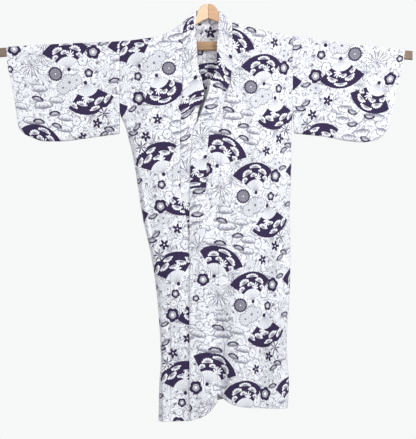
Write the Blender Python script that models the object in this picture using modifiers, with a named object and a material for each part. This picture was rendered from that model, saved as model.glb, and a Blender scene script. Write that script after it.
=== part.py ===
"""Cotton yukata robe on a wooden hanger, with a display pole through its sleeves.

Metres, +Z up. The origin is where the hanger's hook bears. The front of the robe faces -Y and the
wearer's left is at +X. Drops are measured down from the origin. Each cloth piece is an open sheet
on the robe's outer surface, thickened inward.
"""

import math

import bmesh
import bpy

# Cloth and the clearance between pieces
CLOTH = 0.0015
COLLAR_CLOTH = 0.0020
GAP = 0.0003
SEAM = 0.0005
REST = 0.0013
UNDER_LAP = 0.0052

# Hanger and hook
WOOD_THICK = 0.012
HANGER_TOP = 0.080
HANGER_TILT = math.radians(2.3)
WOOD_EDGE = 0.0025
WIRE_RADIUS = 0.0014
HOOK_RADIUS = 0.0175
HOOK_TIP_ANGLE = math.radians(205)
HOOK_NECK_ANGLE = math.radians(-52)

HOOK_STEM = 0.024
HOOK_STEPS = 22

# Pole, with a bare length at each end outside the sleeves
POLE_HALF_DEEP = 0.010
POLE_HALF_HIGH = 0.015
POLE_CORNER = 0.003
POLE_DROP = 0.2225
POLE_BOW = 0.0265
POLE_LEAN = 0.0053
POLE_HALF_SPAN = 0.694
POLE_LEFT = -0.712
POLE_LEFT_BARE = -0.6935
POLE_RIGHT_BARE = 0.6785
POLE_RIGHT = 0.701
POLE_STEPS = 20
POLE_Y = WOOD_THICK / 2 + GAP + POLE_HALF_DEEP

# Robe, seen from the front
ARMHOLE_LEFT = 0.291
ARMHOLE_RIGHT = -0.300
ARMHOLE_END = 0.444
YOKE_DROP = 0.262
NECK_HALF = 0.084
BACK_NECK_DROP = 0.168
COLLAR_TOP_DROP = 0.106
COLLAR_END = 0.950
COLLAR_BACK_Y = 0.0165
OKUMI_TIP = 0.0016
SIDE_ROLL = 0.020

# The right front sinks behind the left one between these distances from its edge, and these drops
LAP_STARTS = 0.045
LAP_ENDS = 0.008
LAP_DROPS = (0.30, 0.40)

# Robe, seen from the side
FRONT_ON_WOOD = -0.0086
FRONT_ON_POLE = POLE_Y - 0.0128
BACK_ON_POLE = POLE_Y + 0.0128
NECK_BACK_Y = 0.023
NECK_HUG = 0.3
SIDE_FOLD_Y = 0.012
FRONT_FULLNESS = 0.022
BACK_FULLNESS = 0.020
FULLNESS_STARTS = 0.26
FRONT_FULL_DROP = 0.72
BACK_FULL_DROP = 0.80
RIDGE_ROUND = 0.012
RIDGE_POWER = 4.0
OVER_POLE_POWER = 3.0
BACK_OVER_POLE = 0.006
COLLAR_BULGE = 0.004

# Where the top line leaves the hanger's arm, and where it lies on the pole
HANGER_REACH = 0.182
LEAVES_ARM = HANGER_REACH + 0.022
LIES_ON_POLE = HANGER_REACH + 0.085

# How folds run on past their foot, fade at both ends, and fade across an armhole
FOLD_RUN_ON = 1.2
FOLD_FADE = 0.35
ARMHOLE_FADE = 0.09
ARMHOLE_FADE_OUT = 0.035

# drop, right outline, left outline (wearer's sides)
SIDES = [
    (0.200, -0.300, 0.291),
    (0.444, -0.300, 0.291),
    (0.500, -0.281, 0.288),
    (0.540, -0.270, 0.287),
    (0.614, -0.253, 0.287),
    (0.810, -0.222, 0.282),
    (0.942, -0.193, 0.284),
    (1.080, -0.173, 0.281),
    (1.231, -0.162, 0.271),
    (1.300, -0.160, 0.274),
    (1.373, -0.165, 0.279),
    (1.447, -0.167, 0.275),
    (1.505, -0.168, 0.267),
]

# across, drop of the top line
SHOULDERS = [
    (-0.690, 0.2265),
    (-0.576, 0.2210),
    (-0.447, 0.2140),
    (-0.337, 0.2080),
    (-0.200, 0.1965),
    (-0.151, 0.1850),
    (-0.110, 0.1640),
    (-0.069, 0.1290),
    (-0.037, 0.1030),
    (0.039, 0.1040),
    (0.065, 0.1290),
    (0.098, 0.1460),
    (0.134, 0.1550),
    (0.178, 0.1675),
    (0.260, 0.1840),
    (0.418, 0.2060),
    (0.503, 0.2170),
    (0.675, 0.2355),
]

# drop, free edge of the left front, its collar seam, its okumi seam
LEFT_FRONT = [
    (0.103, 0.0405, 0.084, 0.084),
    (0.150, 0.037, 0.084, 0.084),
    (0.220, 0.032, 0.084, 0.084),
    (0.280, 0.030, 0.084, 0.084),
    (0.345, 0.022, 0.077, 0.077),
    (0.400, -0.004, 0.055, 0.060),
    (0.460, -0.026, 0.032, 0.052),
    (0.520, -0.049, 0.006, 0.047),
    (0.630, -0.058, -0.003, 0.044),
    (0.800, -0.061, -0.006, 0.040),
    (0.900, -0.062, -0.007, 0.038),
    (0.955, -0.062, -0.059, 0.037),
    (1.160, -0.062, -0.062, 0.034),
    (1.510, -0.062, -0.062, 0.034),
]

# drop, free edge of the right front, its collar seam, its okumi seam
RIGHT_FRONT = [
    (0.103, -0.037, -0.084, -0.084),
    (0.150, -0.042, -0.084, -0.084),
    (0.220, -0.036, -0.084, -0.084),
    (0.280, -0.033, -0.086, -0.086),
    (0.345, -0.021, -0.085, -0.085),
    (0.400, -0.030, -0.087, -0.091),
    (0.460, -0.034, -0.090, -0.102),
    (0.560, -0.037, -0.093, -0.112),
    (0.700, -0.036, -0.092, -0.120),
    (0.830, -0.014, -0.068, -0.123),
    (0.900, -0.006, -0.058, -0.124),
    (0.955, -0.002, -0.005, -0.125),
    (1.160, 0.004, 0.004, -0.126),
    (1.510, 0.008, 0.008, -0.126),
]

# across, drop of the hem
HEM_LEFT_OKUMI = [(-0.063, 1.5010), (-0.027, 1.4900), (0.000, 1.4760), (0.034, 1.4380)]
HEM_LEFT_FRONT = [(0.034, 1.4080), (0.064, 1.4340), (0.090, 1.4470), (0.140, 1.4550), (0.270, 1.4600)]
HEM_RIGHT = [(-0.170, 1.5020), (-0.060, 1.5010), (-0.030, 1.4800), (0.012, 1.4400)]
HEM_BACK = [(-0.170, 1.5020), (-0.110, 1.4900), (0.000, 1.4480), (0.080, 1.4330), (0.270, 1.4600)]

# name, across at the top, across at the foot, drop at the top, drop at the foot, half width, depth
FRONT_FOLDS = [
    ("deep fold beside the okumi", 0.036, 0.046, 1.020, 1.480, 0.022, 0.020),
    ("chest ridge", 0.140, 0.172, 0.300, 0.760, 0.014, -0.006),
    ("chest hollow", 0.110, 0.120, 0.330, 0.700, 0.018, 0.004),
    ("hip hollow", 0.215, 0.175, 0.560, 1.560, 0.026, 0.009),
    ("side ridge", 0.252, 0.225, 0.620, 1.560, 0.016, -0.005),
    ("thigh ridge", 0.120, 0.100, 0.820, 1.560, 0.024, -0.007),
    ("armpit drag", -0.250, -0.140, 0.400, 1.250, 0.022, 0.009),
    ("right side roll", -0.235, -0.142, 0.520, 1.560, 0.015, -0.005),
    ("right knee hollow", -0.110, -0.098, 0.950, 1.560, 0.014, 0.005),
    ("overlap ridge", -0.030, -0.018, 0.560, 1.560, 0.020, -0.005),
]
BACK_FOLDS = [
    ("right side flute", -0.215, -0.148, 0.480, 1.530, 0.020, -0.013),
    ("right outer ridge", -0.165, -0.112, 0.520, 1.530, 0.020, 0.016),
    ("right inner flute", -0.110, -0.074, 0.440, 1.530, 0.021, -0.017),
    ("right inner ridge", -0.052, -0.036, 0.520, 1.530, 0.020, 0.010),
    ("seam hollow", 0.000, 0.000, 0.380, 1.530, 0.020, -0.014),
    ("left inner ridge", 0.060, 0.048, 0.480, 1.530, 0.021, 0.013),
    ("left inner flute", 0.112, 0.098, 0.440, 1.530, 0.022, -0.018),
    ("left outer ridge", 0.166, 0.150, 0.560, 1.530, 0.021, 0.015),
    ("left side flute", 0.222, 0.204, 0.640, 1.530, 0.020, -0.012),
]
SLEEVE_FOLDS = [
    ("right sleeve drag", -0.330, -0.440, 0.250, 0.600, 0.026, 0.0035),
    ("right sleeve ridge", -0.420, -0.560, 0.250, 0.620, 0.030, -0.0030),
    ("right cuff hollow", -0.600, -0.600, 0.280, 0.620, 0.022, 0.0025),
    ("left sleeve drag", 0.320, 0.430, 0.230, 0.600, 0.026, 0.0035),
    ("left sleeve ridge", 0.420, 0.520, 0.250, 0.620, 0.030, -0.0030),
    ("left cuff hollow", 0.590, 0.585, 0.280, 0.620, 0.022, 0.0025),
]

# drop, across at the cuff, then across, drop along the foot of the sleeve from cuff to body
RIGHT_CUFF = [(0.2265, -0.690), (0.291, -0.683), (0.346, -0.671), (0.402, -0.661), (0.505, -0.645)]
RIGHT_FOOT = [
    (-0.645, 0.505),
    (-0.632, 0.520),
    (-0.595, 0.538),
    (-0.558, 0.549),
    (-0.502, 0.549),
    (-0.410, 0.538),
    (-0.302, 0.523),
]
LEFT_CUFF = [(0.2355, 0.675), (0.276, 0.669), (0.328, 0.658), (0.383, 0.647), (0.505, 0.617)]
LEFT_FOOT = [
    (0.617, 0.505),
    (0.603, 0.526),
    (0.580, 0.543),
    (0.529, 0.552),
    (0.480, 0.548),
    (0.400, 0.533),
    (0.297, 0.522),
]

# out from the middle, drop of the wood's top edge below the head's top, height of the wood
HANGER_ARM = [
    (0.000, 0.0000, 0.0490),
    (0.012, 0.0020, 0.0525),
    (0.024, 0.0085, 0.0515),
    (0.034, 0.0240, 0.0410),
    (0.040, 0.0400, 0.0280),
    (0.060, 0.0560, 0.0240),
    (0.085, 0.0730, 0.0210),
    (0.112, 0.0875, 0.0200),
    (0.140, 0.0990, 0.0195),
    (0.165, 0.1090, 0.0190),
    (0.178, 0.1150, 0.0150),
    (0.182, 0.1210, 0.0060),
]

# Rows and columns of the cloth's grids
RIDGE_STEPS = (0.0, 0.012, 0.08, 0.25, 0.55, 1.0)
HANG_ROWS = 21
HEM_DROP = 1.46
OKUMI_FIRST_ROW = 2
ROLL_ANGLES = (90, 58, 30, 8, 0)
BODY_COLUMNS = 6
OKUMI_COLUMNS = 4
COLLAR_COLUMNS = 3
NECK_STEPS = 8
MERGE = 0.00005

# Sleeves: columns closer at the cuff, a corner drawn in at the foot, and a slimmer hang near the cuff
SLEEVE_COLUMNS = 13
SLEEVE_ROWS = 7
SLEEVE_FOOT_ROLL = 0.012
SLEEVE_SPREAD = 1.6
SLEEVE_CORNER = 0.7
SLEEVE_SLIM = 0.30
SLEEVE_SLIM_FROM = 0.25


def clamp(value):
    return min(1.0, max(0.0, value))


def ease(low, high, value):
    part = clamp((value - low) / (high - low))
    return part * part * (3 - 2 * part)


def read(table, where, column=1):
    """A smooth curve through one column of a table, at a value of its first column."""
    keys = [row[0] for row in table]
    values = [row[column] for row in table]
    if where <= keys[0]:
        return values[0]
    if where >= keys[-1]:
        return values[-1]
    i = max(k for k in range(len(keys) - 1) if keys[k] <= where)
    slopes = [(values[k + 1] - values[k]) / (keys[k + 1] - keys[k]) for k in range(len(keys) - 1)]

    def tangent(k):
        if k == 0 or k == len(keys) - 1:
            return slopes[min(k, len(slopes) - 1)]
        before, after = slopes[k - 1], slopes[k]
        return 0.0 if before * after <= 0 else 2 * before * after / (before + after)

    span = keys[i + 1] - keys[i]
    t = (where - keys[i]) / span
    start, end = values[i], values[i + 1]
    pull = tangent(i) * span, tangent(i + 1) * span
    smooth = t * t * (3 - 2 * t)
    return start + (end - start) * smooth + pull[0] * t * (1 - t) ** 2 - pull[1] * t * t * (1 - t)


def pole_drop(x):
    part = x / POLE_HALF_SPAN
    return POLE_DROP + POLE_BOW * part * part + POLE_LEAN * part


def shoulder_drop(x):
    """The robe's top line, which nowhere sinks into the pole."""
    return min(read(SHOULDERS, x), pole_drop(x) - POLE_HALF_HIGH - CLOTH - REST)


def ridge_y(x):
    """Over the hanger the top line follows the arms, and further out the pole."""
    return POLE_Y * ease(LEAVES_ARM, LIES_ON_POLE, abs(x))


def squared(part, power=RIDGE_POWER):
    """A rounded corner: 0 at the ridge and 1 where the cloth hangs."""
    return (1 - (1 - clamp(part)) ** power) ** (1 / power)


def fold_depth(folds, x, drop):
    total = 0.0
    for _name, top, foot, start, end, half_width, depth in folds:
        along = (drop - start) / (end - start)
        centre = top + (foot - top) * min(FOLD_RUN_ON, max(0.0, along))
        fade = ease(0.0, FOLD_FADE, along) * (1 - ease(1.0, 1.0 + FOLD_FADE, along))
        total += depth * fade * math.exp(-(((x - centre) / half_width) ** 2))
    return total


def inside_body(x):
    """1 in the body, falling to 0 across the armholes, so that the sleeves stay flat."""
    left = ease(0.0, ARMHOLE_FADE, ARMHOLE_LEFT + ARMHOLE_FADE_OUT - x)
    return left * ease(0.0, ARMHOLE_FADE, x - ARMHOLE_RIGHT + ARMHOLE_FADE_OUT)


def front_y(x, drop):
    below = drop - shoulder_drop(x)
    on_wood = 1 - ease(LEAVES_ARM, LIES_ON_POLE, abs(x))
    plane = FRONT_ON_POLE + (FRONT_ON_WOOD - FRONT_ON_POLE) * on_wood
    body = inside_body(x)
    hang = plane - FRONT_FULLNESS * body * ease(FULLNESS_STARTS, FRONT_FULL_DROP, drop)
    hang += body * fold_depth(FRONT_FOLDS, x, drop) + fold_depth(SLEEVE_FOLDS, x, drop)
    ridge = ridge_y(x)
    return ridge + (hang - ridge) * squared(below / RIDGE_ROUND)


def back_top_drop(x):
    """The back's top edge: the shoulder line, cut lower under the collar."""
    if abs(x) >= NECK_HALF:
        return shoulder_drop(x)
    side = math.copysign(NECK_HALF, x)
    return BACK_NECK_DROP + (shoulder_drop(side) - BACK_NECK_DROP) * (x / side) ** 2


def back_top_y(x):
    if abs(x) >= NECK_HALF:
        return ridge_y(x)
    return NECK_BACK_Y * (1 - (x / NECK_HALF) ** 2) ** NECK_HUG


def back_round(x):
    over_pole = pole_drop(x) - POLE_HALF_HIGH + BACK_OVER_POLE - back_top_drop(x)
    return max(RIDGE_ROUND, over_pole)


def back_y(x, drop):
    below = drop - back_top_drop(x)
    body = inside_body(x)
    hang = BACK_ON_POLE + BACK_FULLNESS * body * ease(FULLNESS_STARTS, BACK_FULL_DROP, drop)
    hang += body * fold_depth(BACK_FOLDS, x, drop) - fold_depth(SLEEVE_FOLDS, x, drop)
    edge = back_top_y(x)
    power = RIDGE_POWER if back_round(x) <= RIDGE_ROUND else OVER_POLE_POWER
    return edge + (hang - edge) * squared(below / back_round(x), power)


def point(x, y, drop):
    return (x, y, -drop)


def material(name, colour, roughness, metallic=0.0):
    made = bpy.data.materials.new(name)
    made.use_nodes = True
    shader = made.node_tree.nodes["Principled BSDF"]
    shader.inputs["Base Color"].default_value = (*colour, 1.0)
    shader.inputs["Roughness"].default_value = roughness
    shader.inputs["Metallic"].default_value = metallic
    return made


def new_object(name, mesh, finish, collection):
    mesh.materials.append(finish)
    obj = bpy.data.objects.new(name, mesh)
    collection.objects.link(obj)
    return obj


def sheet(name, grids, outward, finish, collection, thick=CLOTH):
    """Joins grids of points into one open sheet and gives it the cloth's thickness, inward.

    outward holds, for each grid, 1 or -1: the way its faces have to turn to point out.
    """
    bm = bmesh.new()
    for grid, turn in zip(grids, outward):
        rows = [[bm.verts.new(p) for p in row] for row in grid]
        for upper, lower in zip(rows, rows[1:]):
            for k in range(len(upper) - 1):
                corners = [upper[k], lower[k], lower[k + 1], upper[k + 1]]
                bm.faces.new(corners if turn > 0 else corners[::-1])
    bmesh.ops.remove_doubles(bm, verts=bm.verts, dist=MERGE)
    mesh = bpy.data.meshes.new(name)
    bm.to_mesh(mesh)
    bm.free()
    mesh.shade_smooth()
    obj = new_object(name, mesh, finish, collection)
    wall = obj.modifiers.new("Cloth thickness", "SOLIDIFY")
    wall.thickness = thick
    wall.offset = -1.0
    return obj


def row_drops(top, rounding, hem):
    """Drops down one column: over the ridge, then evenly from the yoke to the hem."""
    drops = [top + step * rounding for step in RIDGE_STEPS]
    drops.append((drops[-1] + YOKE_DROP) / 2)
    return drops + [YOKE_DROP + (hem - YOKE_DROP) * k / HANG_ROWS for k in range(HANG_ROWS + 1)]


FIRST_HANG_ROW = len(RIDGE_STEPS) + 1
ALL_ROWS = FIRST_HANG_ROW + HANG_ROWS + 1
SETTLE_ROUNDS = 6


def outline(side, drop):
    return read(SIDES, drop, 2 if side > 0 else 1)


def collar_seam(side, drop):
    return read(LEFT_FRONT if side > 0 else RIGHT_FRONT, drop, 2)


def free_edge(side, drop):
    return read(LEFT_FRONT if side > 0 else RIGHT_FRONT, drop, 1)


def okumi_seam(side, drop):
    """The body's front seam: the okumi's, or above its point the collar's."""
    seam = read(LEFT_FRONT if side > 0 else RIGHT_FRONT, drop, 3)
    least = collar_seam(side, drop) + side * OKUMI_TIP
    return max(seam, least) if side > 0 else min(seam, least)


def under_lap(x, drop):
    """How far the right front lies behind the left one, near and under the overlap."""
    edge = free_edge(1, drop)
    return UNDER_LAP * ease(edge - LAP_STARTS, edge - LAP_ENDS, x) * ease(*LAP_DROPS, drop)


def front_surface(side):
    def outer(x, drop):
        return front_y(x, drop) + (under_lap(x, drop) if side < 0 else 0.0)

    return outer


def settle(row, across, top_of, rounding_of, hem_of):
    """A point's place across and its drop, each of which depends on the other."""
    hung = max(0.0, (row - FIRST_HANG_ROW) / HANG_ROWS)
    drop = BACK_NECK_DROP if row < FIRST_HANG_ROW else YOKE_DROP + (HEM_DROP - YOKE_DROP) * hung
    for _ in range(SETTLE_ROUNDS):
        x = across(drop)
        drop = row_drops(top_of(x), rounding_of(x), hem_of(x))[row]
    return x, drop


def front_grid(side, rows, columns, hem):
    """Points of a front piece; columns gives for each one its place across at a drop."""
    surface = front_surface(side)
    grid = []
    for row in rows:
        line = []
        for across in columns:
            x, drop = settle(row, across, shoulder_drop, lambda _x: RIDGE_ROUND, lambda x: read(hem, x))
            line.append(point(x, surface(x, drop), drop))
        grid.append(line)
    return grid


def between(inner, outer, share):
    return lambda drop: inner(drop) + (outer(drop) - inner(drop)) * share


def body_columns(side, inner):
    """Places across for a body panel: even to the side fold, then round it."""
    def rolled(angle):
        back_off = SIDE_ROLL * (1 - math.cos(math.radians(angle)))
        return lambda drop: outline(side, drop) - side * (GAP / 2 + back_off)

    last_even = rolled(ROLL_ANGLES[0])
    even = [(between(inner, last_even, k / BODY_COLUMNS), 1.0) for k in range(BODY_COLUMNS)]
    return even + [(rolled(angle), math.sin(math.radians(angle))) for angle in ROLL_ANGLES]


def neck_columns(side):
    """Places across from the centre seam to the side of the neck, one at each step of the collar."""
    places = [math.cos(math.pi * k / NECK_STEPS) * NECK_HALF for k in range(NECK_STEPS // 2, 0, -1)]
    places[0] = GAP / 2
    return [(lambda _drop, place=place: side * place, 1.0) for place in places]


def body_grid(side, front):
    """One half of the front or the back, from the shoulder to the hem and from seam to side."""
    if front:
        columns = body_columns(side, lambda drop: front_inner(side, drop))
        surface, top_of, rounding_of = front_surface(side), shoulder_drop, lambda _x: RIDGE_ROUND
        hem = HEM_LEFT_FRONT if side > 0 else HEM_RIGHT
    else:
        columns = neck_columns(side) + body_columns(side, lambda _drop: side * (NECK_HALF + SEAM))
        surface, top_of, rounding_of = back_y, back_top_drop, back_round
        hem = HEM_BACK
    grid = []
    for row in range(ALL_ROWS):
        line = []
        for across, share in columns:
            x, drop = settle(row, across, top_of, rounding_of, lambda x: read(hem, x))
            closed = share if drop > ARMHOLE_END else 1.0
            y = SIDE_FOLD_Y + (surface(x, drop) - SIDE_FOLD_Y) * closed
            line.append(point(x, y - GAP if front else y + GAP, drop))
        grid.append(line)
    return grid


def front_inner(side, drop):
    """The body's front edge: at the collar above the okumi's point, and at the okumi below."""
    first = YOKE_DROP + (HEM_DROP - YOKE_DROP) * (OKUMI_FIRST_ROW - 0.5) / HANG_ROWS
    seam = collar_seam(side, drop) if drop < first else okumi_seam(side, drop)
    return seam + side * SEAM


def okumi_grid(side):
    """The narrow panel between the body's front seam and the collar or, below it, the free edge."""
    columns = [
        between(lambda drop: collar_seam(side, drop) + side * SEAM, lambda drop: okumi_seam(side, drop), part)
        for part in (k / OKUMI_COLUMNS for k in range(OKUMI_COLUMNS + 1))
    ]
    hem = HEM_LEFT_OKUMI if side > 0 else HEM_RIGHT
    return front_grid(side, range(FIRST_HANG_ROW + OKUMI_FIRST_ROW, ALL_ROWS), columns, hem)


def collar_front(side):
    """The collar's band down one front, from the top line to its end."""
    columns = [
        between(lambda drop: collar_seam(side, drop), lambda drop: free_edge(side, drop), k / COLLAR_COLUMNS)
        for k in range(COLLAR_COLUMNS + 1)
    ]
    hem = HEM_LEFT_OKUMI if side > 0 else HEM_RIGHT
    grid = front_grid(side, range(ALL_ROWS), columns, hem)
    return [line for line in grid if -line[0][2] < COLLAR_END]


def neck_grid(left_line, right_line):
    """The collar's band round the back of the neck, between its two lines on the top line."""
    grid = [left_line]
    for k in range(1, NECK_STEPS):
        turn = math.pi * k / NECK_STEPS
        swing, back = math.cos(turn), math.sin(turn)
        line = []
        for c in range(COLLAR_COLUMNS + 1):
            share = c / COLLAR_COLUMNS
            end = left_line[c] if swing > 0 else right_line[c]
            seam_x = NECK_HALF * swing
            x = seam_x + (abs(end[0]) * swing - seam_x) * share
            seam_drop = back_top_drop(seam_x) - SEAM
            free_drop = COLLAR_TOP_DROP + (-end[2] - COLLAR_TOP_DROP) * swing * swing
            drop = seam_drop + (free_drop - seam_drop) * share
            y = back_top_y(seam_x) + (COLLAR_BACK_Y * back ** (2 * NECK_HUG) - back_top_y(seam_x)) * share
            line.append(point(x, y + COLLAR_BULGE * back * math.sin(math.pi * share), drop))
        grid.append(line)
    return grid + [right_line]


def make_body(side, name, finish, collection):
    """The front and back of one half, which meet at the shoulder and, below the armhole, at the side."""
    sheet(name + "_front", [body_grid(side, True)], (side,), finish, collection)
    sheet(name + "_back", [body_grid(side, False)], (-side,), finish, collection)


def make_collar(finish, collection):
    left, right = collar_front(1), collar_front(-1)
    grid = left[::-1] + neck_grid(left[0], right[0])[1:-1] + right
    return sheet("collar", [grid], (1,), finish, collection, COLLAR_CLOTH)


def sleeve_grid(side, front):
    """One face of a sleeve: a patch between its top line, its foot, its cuff and the armhole."""
    cuff_rows, foot_rows = (LEFT_CUFF, LEFT_FOOT) if side > 0 else (RIGHT_CUFF, RIGHT_FOOT)
    armhole = (ARMHOLE_LEFT if side > 0 else ARMHOLE_RIGHT) + side * GAP
    foot_line = sorted(foot_rows)
    cuff_x, foot_x = cuff_rows[0][1], foot_rows[0][0]
    surface = front_y if front else back_y
    rounding = RIDGE_ROUND
    grid = []
    for row in range(len(RIDGE_STEPS) + SLEEVE_ROWS + len(ROLL_ANGLES)):
        line = []
        for k in range(SLEEVE_COLUMNS + 1):
            share = k / SLEEVE_COLUMNS
            share = share * share * (SLEEVE_SPREAD - (SLEEVE_SPREAD - 1) * share)
            top_x = cuff_x + (armhole - cuff_x) * share
            top = shoulder_drop(top_x)
            low_x = foot_x + (foot_rows[-1][0] - foot_x) * share
            low = read(foot_line, low_x)
            first, last = top + rounding, low - SLEEVE_FOOT_ROLL
            if row < len(RIDGE_STEPS):
                drop, closed = top + RIDGE_STEPS[row] * rounding, 1.0
            elif row < len(RIDGE_STEPS) + SLEEVE_ROWS:
                drop = first + (last - first) * (row - len(RIDGE_STEPS) + 1) / (SLEEVE_ROWS + 1)
                closed = 1.0
            else:
                turn = math.radians(ROLL_ANGLES[row - len(RIDGE_STEPS) - SLEEVE_ROWS])
                drop, closed = low - SLEEVE_FOOT_ROLL * (1 - math.cos(turn)), math.sin(turn)
            down = clamp((drop - top) / (low - top))
            cuff = read(cuff_rows, cuff_rows[0][0] + (cuff_rows[-1][0] - cuff_rows[0][0]) * down)
            inner = armhole + (foot_rows[-1][0] - armhole) * ease(SLEEVE_CORNER, 1.0, down)
            straight = top_x + (low_x - top_x) * down
            x = straight + (cuff - (cuff_x + (foot_x - cuff_x) * down)) * (1 - share)
            x += (inner - (armhole + (foot_rows[-1][0] - armhole) * down)) * share
            y = surface(x, drop)
            slim = 1 - SLEEVE_SLIM * ease(SLEEVE_SLIM_FROM, 1.0, down)
            y = POLE_Y + (y - POLE_Y) * (slim + (1 - slim) * share ** 3)
            line.append(point(x, POLE_Y + (y - POLE_Y) * closed, drop))
        grid.append(line)
    return grid


def make_sleeve(side, name, finish, collection):
    front, back = sleeve_grid(side, True), sleeve_grid(side, False)
    return sheet(name, [front, back], (-side, side), finish, collection)


def make_pole(finish, collection):
    """A worn rectangular pole, bowed upward, as one sheet of rings closed at both ends."""
    corner, deep, high = POLE_CORNER, POLE_HALF_DEEP, POLE_HALF_HIGH
    covered = POLE_RIGHT_BARE - POLE_LEFT_BARE
    places = [POLE_LEFT_BARE + covered * k / POLE_STEPS for k in range(POLE_STEPS + 1)]
    ring = [
        (-deep, high - corner), (-deep + corner, high), (deep - corner, high), (deep, high - corner),
        (deep, -high + corner), (deep - corner, -high), (-deep + corner, -high), (-deep, -high + corner),
    ]
    bm = bmesh.new()
    rings = []
    for x in [POLE_LEFT, *places, POLE_RIGHT]:
        rings.append([bm.verts.new((x, POLE_Y + y, z - pole_drop(x))) for y, z in ring])
    for near, far in zip(rings, rings[1:]):
        for k in range(len(ring)):
            after = (k + 1) % len(ring)
            bm.faces.new((near[k], near[after], far[after], far[k]))
    bm.faces.new(rings[0][::-1])
    bm.faces.new(rings[-1])
    bmesh.ops.recalc_face_normals(bm, faces=bm.faces)
    mesh = bpy.data.meshes.new("pole")
    bm.to_mesh(mesh)
    bm.free()
    new_object("pole", mesh, finish, collection)


def make_hanger_half(side, name, finish, collection):
    """One mitred half of the hanger: its outline as a flat curve, given the wood's thickness."""
    steps = 3
    outs = [HANGER_ARM[0][0] + GAP / 2]
    for low, high in zip(HANGER_ARM, HANGER_ARM[1:]):
        outs += [low[0] + (high[0] - low[0]) * k / steps for k in range(1, steps + 1)]
    top = [(out, -read(HANGER_ARM, out, 1)) for out in outs]
    foot = [(out, -read(HANGER_ARM, out, 1) - read(HANGER_ARM, out, 2)) for out in outs]
    flat = bpy.data.curves.new(name, "CURVE")
    flat.dimensions = "2D"
    flat.fill_mode = "BOTH"
    flat.extrude = WOOD_THICK / 2 - WOOD_EDGE
    flat.bevel_depth = WOOD_EDGE
    flat.bevel_resolution = 1
    flat.offset = -WOOD_EDGE
    corners = top + foot[::-1]
    line = flat.splines.new("POLY")
    line.points.add(len(corners) - 1)
    for spot, (out, rise) in zip(line.points, corners):
        spot.co = (side * out, rise, 0.0, 1.0)
    line.use_cyclic_u = True
    obj = new_object(name, flat, finish, collection)
    obj.location = (0.0, 0.0, -HANGER_TOP)
    obj.rotation_euler = (math.radians(90), -HANGER_TILT, 0.0)
    weld = obj.modifiers.new("Join the faces", "WELD")
    weld.merge_threshold = 0.0001


def make_hook(finish, collection):
    """The wire: up out of the wood, round under the crown and on to its tip."""
    centre_drop = HOOK_RADIUS - WIRE_RADIUS
    ring = HOOK_RADIUS
    path = [(0.0, GAP - HANGER_TOP), (0.0, HOOK_STEM / 2 - HANGER_TOP), (0.0, HOOK_STEM - HANGER_TOP)]
    for k in range(HOOK_STEPS + 1):
        angle = HOOK_NECK_ANGLE + (HOOK_TIP_ANGLE - HOOK_NECK_ANGLE) * k / HOOK_STEPS
        path.append((ring * math.cos(angle), -centre_drop + ring * math.sin(angle)))
    wire = bpy.data.curves.new("hanger_hook", "CURVE")
    wire.dimensions = "3D"
    wire.bevel_depth = WIRE_RADIUS
    wire.bevel_resolution = 2
    wire.use_fill_caps = True
    line = wire.splines.new("POLY")
    line.points.add(len(path) - 1)
    for spot, (x, z) in zip(line.points, path):
        spot.co = (x, 0.0, z, 1.0)
    new_object("hanger_hook", wire, finish, collection)


def main():
    for obj in list(bpy.data.objects):
        bpy.data.objects.remove(obj)
    robe = bpy.data.collections.new("Cotton yukata robe")
    bpy.context.scene.collection.children.link(robe)
    cotton = material("White printed cotton", (0.80, 0.82, 0.88), 0.9)
    light_wood = material("Pale hanger wood", (0.86, 0.64, 0.42), 0.45)
    dark_wood = material("Aged pole wood", (0.34, 0.21, 0.12), 0.6)
    steel = material("Plated steel wire", (0.62, 0.62, 0.63), 0.3, 1.0)
    make_body(1, "body_left", cotton, robe)
    make_body(-1, "body_right", cotton, robe)
    for side, name in ((1, "left"), (-1, "right")):
        sheet("okumi_" + name, [okumi_grid(side)], (side,), cotton, robe)
        make_sleeve(side, "sleeve_" + name, cotton, robe)
        make_hanger_half(side, "hanger_half_" + name, light_wood, robe)
    make_collar(cotton, robe)
    make_pole(dark_wood, robe)
    make_hook(steel, robe)


main()
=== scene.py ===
# Looks of a printed cotton yukata on a wooden hanger, with a display pole through its sleeves.
# Metres, +Z up, front towards -Y, the wearer's left towards +X. A drop is a distance below the hook.
import math

import bmesh
import bpy
import numpy as np
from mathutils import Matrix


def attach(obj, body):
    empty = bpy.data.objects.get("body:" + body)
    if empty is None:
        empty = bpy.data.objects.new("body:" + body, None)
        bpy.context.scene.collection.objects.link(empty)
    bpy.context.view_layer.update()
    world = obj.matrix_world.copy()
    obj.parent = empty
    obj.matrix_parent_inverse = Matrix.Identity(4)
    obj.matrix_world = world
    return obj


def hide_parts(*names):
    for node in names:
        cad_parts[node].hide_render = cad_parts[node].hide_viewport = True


print("1. Loading the frame")
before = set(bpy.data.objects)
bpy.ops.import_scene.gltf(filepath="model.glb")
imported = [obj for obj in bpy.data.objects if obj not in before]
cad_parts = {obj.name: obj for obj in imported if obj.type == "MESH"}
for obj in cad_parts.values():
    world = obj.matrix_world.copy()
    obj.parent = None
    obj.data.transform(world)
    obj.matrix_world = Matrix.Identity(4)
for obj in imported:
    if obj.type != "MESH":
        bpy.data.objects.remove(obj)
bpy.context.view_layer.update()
bpy.ops.object.select_all(action="DESELECT")


# Small helpers

def ease(low, high, value):
    part = np.clip((value - low) / (high - low), 0.0, 1.0)
    return part * part * (3 - 2 * part)


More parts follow.
